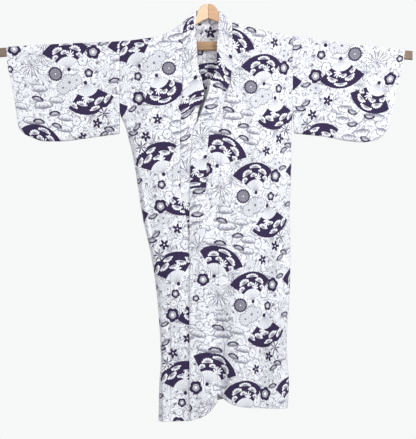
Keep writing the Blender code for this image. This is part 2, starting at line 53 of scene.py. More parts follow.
def curve(rows, column=1):  # a smooth line through one column of a table, with no overshoot
    keys = np.array([row[0] for row in rows], float)
    values = np.array([row[column] for row in rows], float)
    spans = np.diff(keys)
    slopes = np.diff(values) / spans
    before, after = slopes[:-1], slopes[1:]
    rising = before * after > 0
    bends = np.concatenate([slopes[:1], np.zeros(len(keys) - 2), slopes[-1:]])
    bends[1:-1][rising] = 2 * (before * after)[rising] / (before + after)[rising]

    def read(where):
        where = np.clip(where, keys[0], keys[-1])
        i = np.clip(np.searchsorted(keys, where, side="right") - 1, 0, len(spans) - 1)
        t = (where - keys[i]) / spans[i]
        smooth = t * t * (3 - 2 * t)
        pull = bends[i] * t * (1 - t) ** 2 - bends[i + 1] * t * t * (1 - t)
        return values[i] + (values[i + 1] - values[i]) * smooth + pull * spans[i]

    return read


def linear(hexColour):  # sRGB hex to linear RGBA
    parts = [int(hexColour[k:k + 2], 16) / 255 for k in (1, 3, 5)]
    return (*(c / 12.92 if c <= 0.04045 else ((c + 0.055) / 1.055) ** 2.4 for c in parts), 1.0)


def addNode(tree, kind, settings=None, inputs=None):  # a node with its settings, and its values or links
    node = tree.nodes.new(kind)
    for name, value in (settings or {}).items():
        setattr(node, name, value)
    for name, value in (inputs or {}).items():
        socket = node.inputs[name]
        if isinstance(value, bpy.types.NodeSocket):
            tree.links.new(value, socket)
        else:
            socket.default_value = value
    return node


def newObject(name, data):
    made = bpy.data.objects.new(name, data)
    bpy.context.scene.collection.objects.link(made)
    return made


def newMaterial(name):
    made = bpy.data.materials.new(name)
    made.use_nodes = True
    made.node_tree.nodes.clear()
    return made


def closeMaterial(made, kind, inputs):  # its one shader, and the output
    shader = addNode(made.node_tree, kind, inputs=inputs)
    addNode(made.node_tree, "ShaderNodeOutputMaterial", inputs={"Surface": shader.outputs[0]})
    return made


def mixColours(tree, share, first, second):  # sockets 6 and 7 of a Mix node are its two colours
    settings = {"data_type": "RGBA"}
    return addNode(tree, "ShaderNodeMix", settings, {"Factor": share, 6: first, 7: second}).outputs[2]


def distanceSums(result, x, y):  # the sums that make the length of (x, y)
    return [
        (result + "Square", "MULTIPLY", x, x),
        (result + "Sum", "MULTIPLY_ADD", y, y, result + "Square"),
        (result, "SQRT", result + "Sum"),
    ]


def work(tree, steps, known):  # runs a list of sums, each as (result, operation, inputs...), as Math nodes
    for result, operation, *inputs in steps:
        sources = {k: known[item] if isinstance(item, str) else item for k, item in enumerate(inputs)}
        known[result] = addNode(tree, "ShaderNodeMath", {"operation": operation}, sources).outputs[0]
    return known


# Camera and stage come first: the photo looks level at the robe from the front

print("2. Camera, light and stage")
view = {
    "frameHeight": 1.4926,  # metres seen from top to bottom at the robe's front
    "centreX": 0.0017,
    "centreDrop": 0.8161,
    "frontY": -0.02,
    "distance": 5.2,
    "sensor": 36.0,
}
lens = view["sensor"] * view["distance"] / view["frameHeight"]
cameraData = bpy.data.cameras.new("Photo view")
cameraData.sensor_width = view["sensor"]
cameraData.lens = lens
camera = newObject("Photo view", cameraData)
camera.location = (view["centreX"], view["frontY"] - view["distance"], -view["centreDrop"])
camera.rotation_euler = (math.radians(90), 0, 0)
bpy.context.scene.camera = camera

studio = {
    "floorDrop": 9.0,  # far down, so that a view from below still meets paper
    "floorRadius": 9.0,
    "coveRadius": 2.5,
    "wallHeight": 40.0,
    "coveSteps": 12,
    "turnSteps": 64,
    "paper": "#F7F8F8",
    "paperGlow": 1.0,
    "skyStrength": 0.48,
    "skyColour": "#FBFBFF",
}
# power in watts, size in metres, place
softboxes = {
    "Key softbox": (80.0, 1.2, (2.5, -2.2, 0.8)),
    "Fill softbox": (45.0, 2.4, (-0.9, -3.3, 0.2)),
    "Back softbox": (84.0, 2.4, (-1.4, 3.0, 0.4)),
}


def makeStage():  # a round paper sweep, seamless from every side, that holds back none of the light
    profile = [(0.0, 0.0), (studio["floorRadius"], 0.0)]
    cove = studio["coveRadius"]
    for k in range(1, studio["coveSteps"] + 1):
        turn = math.radians(90 * k / studio["coveSteps"])
        profile.append((studio["floorRadius"] + cove * math.sin(turn), cove * (1 - math.cos(turn))))
    profile.append((studio["floorRadius"] + cove, studio["wallHeight"]))
    mesh = bpy.data.meshes.new("Paper sweep")
    places = [(out, 0.0, up - studio["floorDrop"]) for out, up in profile]
    mesh.from_pydata(places, [(k, k + 1) for k in range(len(places) - 1)], [])
    sweep = newObject("Paper_sweep", mesh)
    turned = sweep.modifiers.new("Turn", "SCREW")
    turned.steps = turned.render_steps = studio["turnSteps"]
    turned.use_merge_vertices = True
    turned.merge_threshold = 0.0001
    glow = {"Color": linear(studio["paper"]), "Strength": studio["paperGlow"]}
    mesh.materials.append(closeMaterial(newMaterial("White paper sweep"), "ShaderNodeEmission", glow))
    sweep.visible_shadow = False
    sweep.visible_diffuse = False
    sweep.visible_glossy = False


def makeLight(name, power, size, place):
    data = bpy.data.lights.new(name, "AREA")
    data.energy = power
    data.size = size
    light = newObject(name, data)
    light.location = place
    aim = np.array([0.0, 0.0, -view["centreDrop"]]) - np.array(place)
    flat = math.hypot(aim[0], aim[1])
    light.rotation_euler = (math.radians(90) + math.atan2(aim[2], flat), 0, math.atan2(-aim[0], aim[1]))


makeStage()
for boxName, (boxPower, boxSize, boxPlace) in softboxes.items():
    makeLight(boxName, boxPower, boxSize, boxPlace)
sky = bpy.data.worlds.new("Studio walls")
sky.use_nodes = True
skyInputs = sky.node_tree.nodes["Background"].inputs
skyInputs["Color"].default_value = linear(studio["skyColour"])
skyInputs["Strength"].default_value = studio["skyStrength"]
bpy.context.scene.world = sky
bpy.context.scene.view_settings.view_transform = "Standard"


# Shape of the robe. The same surfaces as the solids', but for finer creases and the collar's free edges

print("3. Shape of the cloth")
cloth = {
    "thick": 0.0015,
    "collarThick": 0.0020,
    "gap": 0.0003,
    "seam": 0.0005,
    "rest": 0.0013,
    "underLap": 0.0052,
    "face": 0.0046,  # side of one face of the fine mesh
    "rolledEdge": 0.0008,  # how far a sewn or folded edge turns in
    "edgeReach": 0.0035,
    "stitchIn": 0.010,  # the line of stitches above a hem: its place, half width and height
    "stitchWide": 0.0012,
    "stitchHigh": 0.0004,
    "merge": 0.00005,
    "foldRise": 0.35,  # in lengths of a fold: where it is at its full depth, where it has run out
    "foldEnd": 1.35,  # past its foot, and how far on its line keeps its slant
    "foldLean": 1.2,
    "ridgeRows": 14,  # rows round the shoulder's ridge
    "rollColumns": 15,  # columns round the fold at the side
}
pole = {
    "halfDeep": 0.010,
    "halfHigh": 0.015,
    "drop": 0.2225,
    "bow": 0.0265,
    "lean": 0.0053,
    "halfSpan": 0.694,
    "y": 0.0163,
}
robe = {
    "armholeLeft": 0.291,
    "armholeRight": -0.300,
    "armholeEnd": (0.433, 0.490),
    "neckHalf": 0.084,
    "neckColumns": 12,
    "backNeckDrop": 0.168,
    "neckBackY": 0.023,
    "neckHug": 0.3,
    "okumiTip": 0.0016,
    "okumiStart": 0.347,
    "okumiWidths": {1: 0.096, -1: 0.118},
    "okumiLength": 1.13,
    "bodyLength": 1.26,
    "backWidth": 0.19,
    "frontWidth": 0.225,
    "sideRoll": 0.020,
    "sideFoldY": 0.012,
    "frontOnWood": -0.0086,
    "frontOnPole": pole["y"] - pole["halfDeep"] - cloth["thick"] - cloth["rest"],
    "backOnPole": pole["y"] + pole["halfDeep"] + cloth["thick"] + cloth["rest"],
    "frontFullness": 0.022,
    "backFullness": 0.020,
    "fullStarts": 0.26,
    "frontFull": 0.72,
    "backFull": 0.80,
    "ridgeRound": 0.012,
    "ridgeCorner": 4.0,
    "backCorner": 3.0,
    "backRoundsPast": 0.006,  # how far under the pole's top the back still rounds
    "leavesArm": 0.204,
    "liesOnPole": 0.267,
    "frontFree": (0.262, 0.36),  # drops between which the cloth comes free of the pole
    "backFree": (0.268, 0.37),
    "sleeveWaves": 0.45,
    "backWaveShift": (0.31, 0.17),
    "armholeReach": 0.035,
    "armholeBlend": 0.09,
    "lapAcross": (-0.045, -0.008),  # from the left front's edge, where the right one sinks behind it
    "lapDrop": (0.30, 0.40),
}

# drop, right outline, left outline
sides = [
    (0.200, -0.300, 0.291), (0.444, -0.300, 0.291), (0.500, -0.281, 0.288), (0.540, -0.270, 0.287),
    (0.614, -0.253, 0.287), (0.810, -0.222, 0.282), (0.942, -0.193, 0.284), (1.080, -0.173, 0.281),
    (1.231, -0.162, 0.271), (1.300, -0.160, 0.274), (1.373, -0.165, 0.279), (1.447, -0.167, 0.275),
    (1.505, -0.168, 0.267),
]
# across, drop of the top line
shoulders = [
    (-0.690, 0.2265), (-0.576, 0.2210), (-0.447, 0.2140), (-0.337, 0.2080), (-0.200, 0.1965),
    (-0.151, 0.1850), (-0.110, 0.1640), (-0.069, 0.1290), (-0.037, 0.1030), (0.039, 0.1040),
    (0.065, 0.1290), (0.098, 0.1460), (0.134, 0.1550), (0.178, 0.1675), (0.260, 0.1840),
    (0.418, 0.2060), (0.503, 0.2170), (0.675, 0.2355),
]
# drop, free edge, collar seam, okumi seam
leftFront = [
    (0.103, 0.0405, 0.084, 0.084), (0.150, 0.037, 0.084, 0.084), (0.220, 0.032, 0.084, 0.084),
    (0.280, 0.031, 0.084, 0.084), (0.316, 0.028, 0.081, 0.081), (0.338, 0.011, 0.078, 0.078),
    (0.375, 0.005, 0.067, 0.069), (0.400, -0.003, 0.055, 0.060),
    (0.460, -0.026, 0.032, 0.052), (0.520, -0.049, 0.006, 0.047), (0.630, -0.058, -0.003, 0.044),
    (0.800, -0.061, -0.006, 0.040), (0.900, -0.062, -0.007, 0.038), (0.955, -0.062, -0.059, 0.037),
    (1.160, -0.062, -0.062, 0.034), (1.510, -0.062, -0.062, 0.034),
]
rightFront = [
    (0.103, -0.037, -0.084, -0.084), (0.150, -0.042, -0.084, -0.084), (0.220, -0.036, -0.084, -0.084),
    (0.280, -0.033, -0.086, -0.086), (0.345, -0.018, -0.085, -0.085), (0.385, -0.011, -0.086, -0.089),
    (0.410, -0.018, -0.087, -0.093),
    (0.460, -0.034, -0.090, -0.102), (0.560, -0.037, -0.093, -0.112), (0.700, -0.036, -0.092, -0.120),
    (0.830, -0.014, -0.068, -0.123), (0.900, -0.006, -0.058, -0.124), (0.955, -0.002, -0.005, -0.125),
    (1.160, 0.004, 0.004, -0.126), (1.510, 0.008, 0.008, -0.126),
]
# across, drop of the hem
hemLeftOkumi = curve([(-0.063, 1.5010), (-0.027, 1.4900), (0.000, 1.4760), (0.034, 1.4380)])
hemLeftFront = curve([(0.034, 1.4080), (0.064, 1.4340), (0.090, 1.4470), (0.140, 1.4550), (0.270, 1.4600)])
hemRight = curve([(-0.170, 1.5020), (-0.060, 1.5010), (-0.030, 1.4800), (0.012, 1.4400)])
hemFrontOf = {1: hemLeftFront, -1: hemRight}
hemOkumiOf = {1: hemLeftOkumi, -1: hemRight}
hemBack = curve([(-0.170, 1.5020), (-0.110, 1.4900), (0.000, 1.4480), (0.080, 1.4330), (0.270, 1.4600)])

# across at the top, across at the foot, drop at the top, drop at the foot, half width, depth
frontFolds = {
    "deep fold beside the okumi": (0.036, 0.046, 1.020, 1.480, 0.022, 0.020),
    "chest ridge": (0.140, 0.172, 0.300, 0.760, 0.014, -0.006),
    "chest hollow": (0.110, 0.120, 0.330, 0.700, 0.018, 0.004),
    "hip hollow": (0.215, 0.175, 0.560, 1.560, 0.026, 0.009),
    "side ridge": (0.252, 0.225, 0.620, 1.560, 0.016, -0.005),
    "thigh ridge": (0.120, 0.100, 0.820, 1.560, 0.024, -0.007),
    "armpit drag": (-0.250, -0.140, 0.400, 1.250, 0.022, 0.009),
    "right side roll": (-0.235, -0.142, 0.520, 1.560, 0.015, -0.005),
    "right knee hollow": (-0.110, -0.098, 0.950, 1.560, 0.014, 0.005),
    "overlap ridge": (-0.030, -0.018, 0.560, 1.560, 0.020, -0.005),
}
backFolds = {
    "right side flute": (-0.215, -0.148, 0.480, 1.530, 0.020, -0.013),
    "right outer ridge": (-0.165, -0.112, 0.520, 1.530, 0.020, 0.016),
    "right inner flute": (-0.110, -0.074, 0.440, 1.530, 0.021, -0.017),
    "right inner ridge": (-0.052, -0.036, 0.520, 1.530, 0.020, 0.010),
    "seam hollow": (0.000, 0.000, 0.380, 1.530, 0.020, -0.014),
    "left inner ridge": (0.060, 0.048, 0.480, 1.530, 0.021, 0.013),
    "left inner flute": (0.112, 0.098, 0.440, 1.530, 0.022, -0.018),
    "left outer ridge": (0.166, 0.150, 0.560, 1.530, 0.021, 0.015),
    "left side flute": (0.222, 0.204, 0.640, 1.530, 0.020, -0.012),
}
sleeveFolds = {
    "right sleeve drag": (-0.330, -0.440, 0.250, 0.600, 0.026, 0.0035),
    "right sleeve ridge": (-0.420, -0.560, 0.250, 0.620, 0.030, -0.0030),
    "right cuff hollow": (-0.600, -0.600, 0.280, 0.620, 0.022, 0.0025),
    "left sleeve drag": (0.320, 0.430, 0.230, 0.600, 0.026, 0.0035),
    "left sleeve ridge": (0.420, 0.520, 0.250, 0.620, 0.030, -0.0030),
    "left cuff hollow": (0.590, 0.585, 0.280, 0.620, 0.022, 0.0025),
}
# finer creases that only the looks have, in the same columns
frontCreases = {
    "left shoulder drag": (0.100, 0.150, 0.270, 0.420, 0.008, -0.0016),
    "left armhole drag": (0.262, 0.205, 0.330, 0.620, 0.009, 0.0020),
    "left armpit pleat": (0.278, 0.262, 0.430, 0.700, 0.006, 0.0018),
    "left breast pinch": (0.158, 0.190, 0.420, 0.640, 0.006, -0.0018),
    "left chest line": (0.126, 0.136, 0.360, 0.560, 0.005, 0.0016),
    "left waist line": (0.070, 0.084, 0.560, 0.900, 0.008, 0.0018),
    "left hip line": (0.236, 0.250, 0.700, 1.050, 0.008, -0.0020),
    "left thigh line": (0.085, 0.076, 1.000, 1.400, 0.007, -0.0018),
    "left knee line": (0.195, 0.205, 0.960, 1.380, 0.009, 0.0022),
    "left hem flute": (0.150, 0.158, 1.240, 1.520, 0.012, -0.0030),
    "left hem dip": (0.215, 0.222, 1.280, 1.520, 0.010, 0.0028),
    "lap edge curl": (-0.052, -0.054, 0.900, 1.520, 0.006, -0.0018),
    "lap middle line": (0.004, 0.012, 0.760, 1.260, 0.008, 0.0016),
    "lap hem flute": (-0.020, -0.014, 1.260, 1.520, 0.010, -0.0022),
    "right shoulder drag": (-0.120, -0.190, 0.260, 0.460, 0.009, 0.0018),
    "right armhole drag": (-0.270, -0.215, 0.330, 0.640, 0.008, -0.0020),
    "right armpit pleat": (-0.282, -0.240, 0.430, 0.660, 0.006, 0.0020),
    "right waist line": (-0.170, -0.150, 0.560, 0.900, 0.007, -0.0018),
    "right hip line": (-0.200, -0.178, 0.740, 1.060, 0.006, 0.0016),
    "right thigh line": (-0.134, -0.130, 0.980, 1.360, 0.007, 0.0018),
    "right hem flute": (-0.140, -0.138, 1.240, 1.520, 0.008, -0.0024),
    "right hem dip": (-0.086, -0.082, 1.200, 1.520, 0.009, 0.0020),
}
backCreases = {
    "left shoulder blade drag": (0.150, 0.195, 0.290, 0.560, 0.010, -0.0020),
    "left armhole drag": (0.268, 0.220, 0.340, 0.640, 0.009, 0.0022),
    "left armpit pleat": (0.280, 0.262, 0.430, 0.720, 0.006, -0.0020),
    "left waist line": (0.138, 0.128, 0.620, 0.960, 0.007, -0.0020),
    "left hip line": (0.196, 0.182, 0.820, 1.240, 0.008, -0.0022),
    "left thigh line": (0.078, 0.070, 0.900, 1.320, 0.007, 0.0020),
    "left hem flute": (0.245, 0.235, 1.180, 1.520, 0.009, -0.0024),
    "right shoulder blade drag": (-0.140, -0.190, 0.290, 0.520, 0.010, -0.0020),
    "right armhole drag": (-0.272, -0.222, 0.340, 0.620, 0.009, 0.0022),
    "right armpit pleat": (-0.286, -0.244, 0.430, 0.680, 0.006, -0.0020),
    "right waist line": (-0.138, -0.116, 0.600, 0.930, 0.007, -0.0018),
    "right thigh line": (-0.060, -0.052, 0.880, 1.300, 0.007, -0.0018),
    "right hem flute": (-0.128, -0.122, 1.160, 1.520, 0.008, 0.0020),
}
sleeveCreases = {
    "right armhole tuck": (-0.312, -0.330, 0.280, 0.470, 0.007, -0.0016),
    "right elbow line": (-0.372, -0.470, 0.300, 0.560, 0.009, -0.0014),
    "right forearm line": (-0.500, -0.560, 0.290, 0.520, 0.008, 0.0013),
    "right cuff flute": (-0.645, -0.632, 0.300, 0.560, 0.012, -0.0016),
    "left armhole tuck": (0.306, 0.322, 0.280, 0.470, 0.007, -0.0016),
    "left elbow line": (0.360, 0.452, 0.300, 0.560, 0.009, -0.0014),
    "left forearm line": (0.480, 0.545, 0.290, 0.520, 0.008, 0.0013),
    "left cuff flute": (0.628, 0.612, 0.300, 0.560, 0.012, -0.0016),
}
# length across, length down, start, height of the slow waves that keep any panel from being flat
slowWaves = [
    (0.143, 0.410, 0.3, 0.0011),
    (-0.211, 0.265, 1.9, 0.0010),
    (0.087, -0.530, 4.1, 0.0006),
    (0.061, 0.173, 2.6, 0.0004),
]

# drop, across at the cuff; and across, drop along the foot from the cuff to the body. 1 left, -1 right
cuffs = {
    1: [(0.2355, 0.675), (0.276, 0.669), (0.328, 0.658), (0.383, 0.647), (0.505, 0.617)],
    -1: [(0.2265, -0.690), (0.291, -0.683), (0.346, -0.671), (0.402, -0.661), (0.505, -0.645)],
}
sleeveFeet = {
    1: [
        (0.617, 0.505), (0.603, 0.526), (0.580, 0.543), (0.529, 0.552), (0.480, 0.548),
        (0.400, 0.533), (0.297, 0.522),
    ],
    -1: [
        (-0.645, 0.505), (-0.632, 0.520), (-0.595, 0.538), (-0.558, 0.549), (-0.502, 0.549),
        (-0.410, 0.538), (-0.302, 0.523),
    ],
}

topLine = curve(shoulders)
outlineOf = {1: curve(sides, 2), -1: curve(sides, 1)}
freeEdgeOf = {1: curve(leftFront, 1), -1: curve(rightFront, 1)}
collarSeamOf = {1: curve(leftFront, 2), -1: curve(rightFront, 2)}
okumiSeamOf = {1: curve(leftFront, 3), -1: curve(rightFront, 3)}


def poleDrop(x):
    part = x / pole["halfSpan"]
    return pole["drop"] + pole["bow"] * part * part + pole["lean"] * part


def shoulderDrop(x):
    return np.minimum(topLine(x), poleDrop(x) - pole["halfHigh"] - cloth["thick"] - cloth["rest"])


def ridgeY(x):
    return pole["y"] * ease(robe["leavesArm"], robe["liesOnPole"], np.abs(x))


def squared(part, power):  # a rounded corner: 0 at the ridge and 1 where the cloth hangs
    return (1 - (1 - np.clip(part, 0, 1)) ** power) ** (1 / power)


def foldDepth(folds, x, drop):
    total = np.zeros_like(x)
    for top, foot, start, end, halfWidth, depth in folds.values():
        along = (drop - start) / (end - start)
        centre = top + (foot - top) * np.clip(along, 0.0, cloth["foldLean"])
        fade = ease(0.0, cloth["foldRise"], along) * (1 - ease(1.0, cloth["foldEnd"], along))
        total += depth * fade * np.exp(-(((x - centre) / halfWidth) ** 2))
    return total


def slowHeight(x, drop):
    total = np.zeros_like(x)
    for across, down, start, height in slowWaves:
        total += height * np.sin(2 * math.pi * (x / across + drop / down) + start)
    return total


def insideBody(x):  # 1 in the body, falling to 0 across the armholes
    reach, blend = robe["armholeReach"], robe["armholeBlend"]
    left = ease(0.0, blend, robe["armholeLeft"] + reach - x)
    return left * ease(0.0, blend, x - robe["armholeRight"] + reach)


def loosened(body):  # the sleeves have weaker waves than the body
    return robe["sleeveWaves"] + (1 - robe["sleeveWaves"]) * body


def frontY(x, drop):
    below = drop - shoulderDrop(x)
    onWood = 1 - ease(robe["leavesArm"], robe["liesOnPole"], np.abs(x))
    plane = robe["frontOnPole"] + (robe["frontOnWood"] - robe["frontOnPole"]) * onWood
    body = insideBody(x)
    free = ease(*robe["frontFree"], drop)
    hang = plane - robe["frontFullness"] * body * ease(robe["fullStarts"], robe["frontFull"], drop)
    hang += body * foldDepth(frontFolds, x, drop) + foldDepth(sleeveFolds, x, drop)
    hang += free * (body * foldDepth(frontCreases, x, drop) + foldDepth(sleeveCreases, x, drop))
    hang += free * slowHeight(x, drop) * loosened(body)
    ridge = ridgeY(x)
    return ridge + (hang - ridge) * squared(below / robe["ridgeRound"], robe["ridgeCorner"])


def backTopDrop(x):
    side = np.where(x < 0, -robe["neckHalf"], robe["neckHalf"])
    dip = robe["backNeckDrop"] + (shoulderDrop(side) - robe["backNeckDrop"]) * (x / side) ** 2
    return np.where(np.abs(x) >= robe["neckHalf"], shoulderDrop(x), dip)


def backTopY(x):
    inNeck = np.clip(1 - (x / robe["neckHalf"]) ** 2, 0, 1) ** robe["neckHug"]
    return np.where(np.abs(x) >= robe["neckHalf"], ridgeY(x), robe["neckBackY"] * inNeck)


def backRound(x):
    lowest = poleDrop(x) - pole["halfHigh"] + robe["backRoundsPast"]
    return np.maximum(robe["ridgeRound"], lowest - backTopDrop(x))


def backY(x, drop):
    below = drop - backTopDrop(x)
    body = insideBody(x)
    free = ease(*robe["backFree"], drop)
    swell = robe["backFullness"] * body * ease(robe["fullStarts"], robe["backFull"], drop)
    hang = robe["backOnPole"] + swell
    hang += body * foldDepth(backFolds, x, drop) - foldDepth(sleeveFolds, x, drop)
    hang += free * (body * foldDepth(backCreases, x, drop) - foldDepth(sleeveCreases, x, drop))
    across, down = robe["backWaveShift"]
    hang += free * slowHeight(x + across, drop + down) * loosened(body)
    edge = backTopY(x)
    rounding = backRound(x)
    power = np.where(rounding <= robe["ridgeRound"], robe["ridgeCorner"], robe["backCorner"])
    return edge + (hang - edge) * squared(below / rounding, power)


def frontOf(side, x, drop):  # the right front sinks behind the left one, near and under the overlap
    y = frontY(x, drop)
    if side < 0:
        near = ease(*robe["lapAcross"], x - freeEdgeOf[1](drop))
        y = y + cloth["underLap"] * near * ease(*robe["lapDrop"], drop)
    return y


def edgeRoll(distance):
    return cloth["rolledEdge"] * np.exp(-((distance / cloth["edgeReach"]) ** 2))


def hemStitch(above):
    return cloth["stitchHigh"] * np.exp(-(((above - cloth["stitchIn"]) / cloth["stitchWide"]) ** 2))


# The print. One repeat of a traditional design, charted in millimetres from the middle of
# its first fan, x across the cloth and y down it

printed = {
    "repeat": 375.0,
    "reach": 6.0,  # a face further than this from every motif has none
    "fanHalfAngle": math.radians(51),
    "fanInner": 0.43,  # where a fan's leaf starts, as a share of its radius
    "rivet": 0.12,
    "domeTop": 0.62,  # how high and how low a pine cloud's dome reaches, in its radii
    "domeFoot": 0.30,
    "sprayMiddle": 0.3,  # a spray hangs this far below its place, and reaches this far, in its radii
    "sprayReach": 0.9,
    "slopeStep": 0.01,  # metres along a line of the grain over which its slope is taken
}
# kinds of motif, as the print's shader knows them
heroKinds = {
    "fan": 1, "plum": 2, "chrysanthemum": 3, "bellflower": 4, "pineCloud": 5, "sprig": 6, "fanDown": 7,
}
lineKinds = {"wheel": 1, "linePlum": 2, "needles": 3, "leaves": 4, "mound": 5}

# each kind's x, y, radius, and tilt in degrees to the right of upright. A fan's place is its pivot
heroMotifs = {
    "fan": [(10, 56, 103, -8), (-134, 348, 106, 20), (228, 34, 101, -6)],
    "fanDown": [(64, 101, 110, 166)],
    "plum": [(95, -4, 25, 8), (-172, -14, 23, 30), (78, 68, 16, 0), (-194, 55, 13, 20)],
    "chrysanthemum": [(-38, 71, 25, 0)],
    "bellflower": [(102, 239, 19, 12), (46, 287, 18, -20)],
    "pineCloud": [
        (-112, 158, 23, 16), (-54, 209, 22, -4), (-116, 236, 24, 6), (-50, 250, 21, 18),
        (129, 279, 21, -30), (129, 343, 20, -16), (147, 262, 22, 8), (166, 96, 22, -12),
    ],
    "sprig": [(126, 206, 24, 35)],
}
lineMotifs = {
    "wheel": [(8, 100, 30, 0), (-16, 118, 24, 15), (34, 92, 20, 40), (92, 330, 24, 10)],
    "linePlum": [
        (58, 26, 19, 0), (88, 36, 14, 10), (-182, 34, 18, 0), (-172, 82, 20, 22), (-164, 116, 12, 0),
        (-176, 150, 15, 8), (20, 190, 17, 0), (24, 232, 19, 15), (-90, 300, 14, 12), (40, 262, 13, 0),
    ],
    "needles": [
        (-116, 40, 50, 6), (-84, 8, 34, -30), (112, 130, 34, 16), (-70, 338, 36, -16),
        (60, 352, 36, 0), (86, 214, 30, 20), (-150, 316, 34, -8), (40, -26, 30, 40),
    ],
    "leaves": [
        (-146, 6, 40, -20), (-128, 84, 40, 14), (-84, 78, 34, -24), (136, 42, 46, 30),
        (120, 92, 44, -16), (168, 66, 42, 10), (156, 118, 40, 34), (176, 160, 40, -8),
        (-30, 322, 40, 10), (150, 318, 44, 15), (108, 296, 34, -32), (10, 345, 42, 40),
        (160, 206, 44, 0), (60, 196, 34, -20), (76, 262, 34, 30), (-6, 292, 36, -14),
        (24, 314, 34, 22), (-160, 262, 36, 18), (-178, 350, 36, 26), (-40, -24, 32, -36),
    ],
    "mound": [
        (-126, 104, 34, 4), (-104, 124, 34, 2), (-44, 164, 28, 4), (-92, 180, 36, -4),
        (-14, 224, 32, 6), (-148, 234, 32, 8), (-20, 262, 30, 6), (166, 246, 30, -8),
        (176, 20, 28, -10), (-178, 184, 30, 10), (70, -34, 28, 12),
    ],
}
# the motifs about the neck, placed on the robe itself: across and drop of the middle, in millimetres
neckMotifs = {
    "bellflower": [(10, 175, 21, 0)],
    "fan": [(8, 376, 98, 0), (-22, 178, 62, -48)],
    "plum": [(-26, 241, 14, 0)],
}
# and where they take the place of the repeat: across, drop and depth, from and to
neckWindows = [
    (-0.070, 0.070, 0.120, 0.350, 0.002, 0.060),
    (-0.095, -0.046, 0.100, 0.172, -0.060, 0.003),
]


def placeMotifs(corners, motifs, kinds, repeats=True):
    # For each face the nearest motif, and its corners' places from that motif's middle in its radii
    middle = corners.mean(axis=1)
    best = np.full(len(middle), printed["reach"])
    local = np.zeros((len(middle), 4, 3))
    for kind, (x, y, radius, tilt) in ((kind, motif) for kind in motifs for motif in motifs[kind]):
        turns = np.floor((middle[:, 1] - y) / printed["repeat"] + 0.5) * repeats
        tilt = math.radians(tilt)
        fromX = corners[:, :, 0] - x
        fromY = corners[:, :, 1] - y - (turns * printed["repeat"])[:, None]
        right = (fromX * math.cos(tilt) + fromY * math.sin(tilt)) / radius
        up = (fromX * math.sin(tilt) - fromY * math.cos(tilt)) / radius
        midRight, midUp = right.mean(axis=1), up.mean(axis=1)
        away = np.hypot(midRight, midUp)
        off = away - 1
        if kind in ("fan", "fanDown"):
            beside = (np.abs(np.arctan2(midRight, midUp)) - printed["fanHalfAngle"]) * away
            off = np.maximum(off, np.where(away < printed["rivet"], 0, beside))
        elif kind in ("pineCloud", "mound"):
            dome = np.where(midUp > 0, printed["domeTop"], printed["domeFoot"])
            off = np.hypot(midRight, midUp / dome) - 1
        elif kind in ("leaves", "needles"):
            off = np.hypot(midRight, midUp + printed["sprayMiddle"]) - printed["sprayReach"]
        distance = off * radius
        closer = distance < best
        best[closer] = distance[closer]
        local[closer, :, 0] = right[closer]
        local[closer, :, 1] = up[closer]
        local[closer, :, 2] = kinds[kind]
    return local


def faceCorners(grid):  # rows x columns x values to faces x 4 corners x values
    corners = np.stack([grid[:-1, :-1], grid[1:, :-1], grid[1:, 1:], grid[:-1, 1:]], axis=2)
    return corners.reshape(-1, 4, grid.shape[2])


def makeSheet(name, grids, thick):
    # grids: place (rows x columns x 3), cloth place in mm (rows x columns x 2), which way out
    points, faces, prints, spots = [], [], [], []
    first = 0
    for place, spot, turn in grids:
        rows, columns = place.shape[:2]
        index = np.arange(rows * columns).reshape(rows, columns, 1) + first
        quads = faceCorners(index)[:, :, 0]
        marks, real = faceCorners(spot), faceCorners(place)
        if turn < 0:
            quads, marks, real = quads[:, ::-1], marks[:, ::-1], real[:, ::-1]
        points.append(place.reshape(-1, 3))
        faces.append(quads)
        prints.append(marks)
        spots.append(real)
        first += rows * columns
    points, faces, prints, spots = (np.concatenate(part) for part in (points, faces, prints, spots))
    hero = placeMotifs(prints, heroMotifs, heroKinds)
    middle = spots.mean(axis=1)
    for left, right, high, low, near, far in neckWindows:
        most, least = np.array([right, far, -high]), np.array([left, near, -low])
        inside = ((middle > least) & (middle < most)).all(axis=1)
        if inside.any():
            onRobe = spots[inside][:, :, (0, 2)] * (1000, -1000)
            hero[inside] = placeMotifs(onRobe, neckMotifs, heroKinds, repeats=False)
    line = placeMotifs(prints, lineMotifs, lineKinds)
    flat = np.concatenate([prints / 1000, np.zeros((len(prints), 4, 1))], axis=2)
    mesh = bpy.data.meshes.new(name)
    mesh.from_pydata(points.tolist(), [], faces.tolist())
    for attribute, values in (("hero", hero), ("line", line), ("cloth", flat)):
        layer = mesh.attributes.new(attribute, "FLOAT_VECTOR", "CORNER")
        layer.data.foreach_set("vector", values.reshape(-1))
    joined = bmesh.new()
    joined.from_mesh(mesh)
    bmesh.ops.remove_doubles(joined, verts=joined.verts, dist=cloth["merge"])
    joined.to_mesh(mesh)
    joined.free()
    piece = newObject(name, mesh)
    wall = piece.modifiers.new("Cloth thickness", "SOLIDIFY")
    wall.thickness = thick
    wall.offset = -1.0
    bpy.context.view_layer.objects.active = piece
    bpy.ops.object.modifier_apply(modifier=wall.name)
    piece.data.shade_smooth()
    print("   ", name, len(piece.data.polygons) * 2, "triangles")
    return piece


# Rows and columns of the fine grids

ridgeSteps = (np.arange(cloth["ridgeRows"] + 1) / cloth["ridgeRows"]) ** 2
nearEdge = np.array([0.0, 0.0015, 0.0030, 0.0050])
hemRows = np.array([0.016, 0.013, 0.0105, 0.0095, 0.0075, 0.005, 0.003, 0.0015, 0.0])


def evenSteps(length, fineStart, fineEnd):  # shares of a length, closer together beside a sewn edge
    start = nearEdge / length if fineStart else np.array([0.0])
    end = 1 - nearEdge[::-1] / length if fineEnd else np.array([1.0])
    count = max(2, round((end[0] - start[-1]) * length / cloth["face"]))
    return np.concatenate([start, np.linspace(start[-1], end[0], count + 1)[1:-1], end])


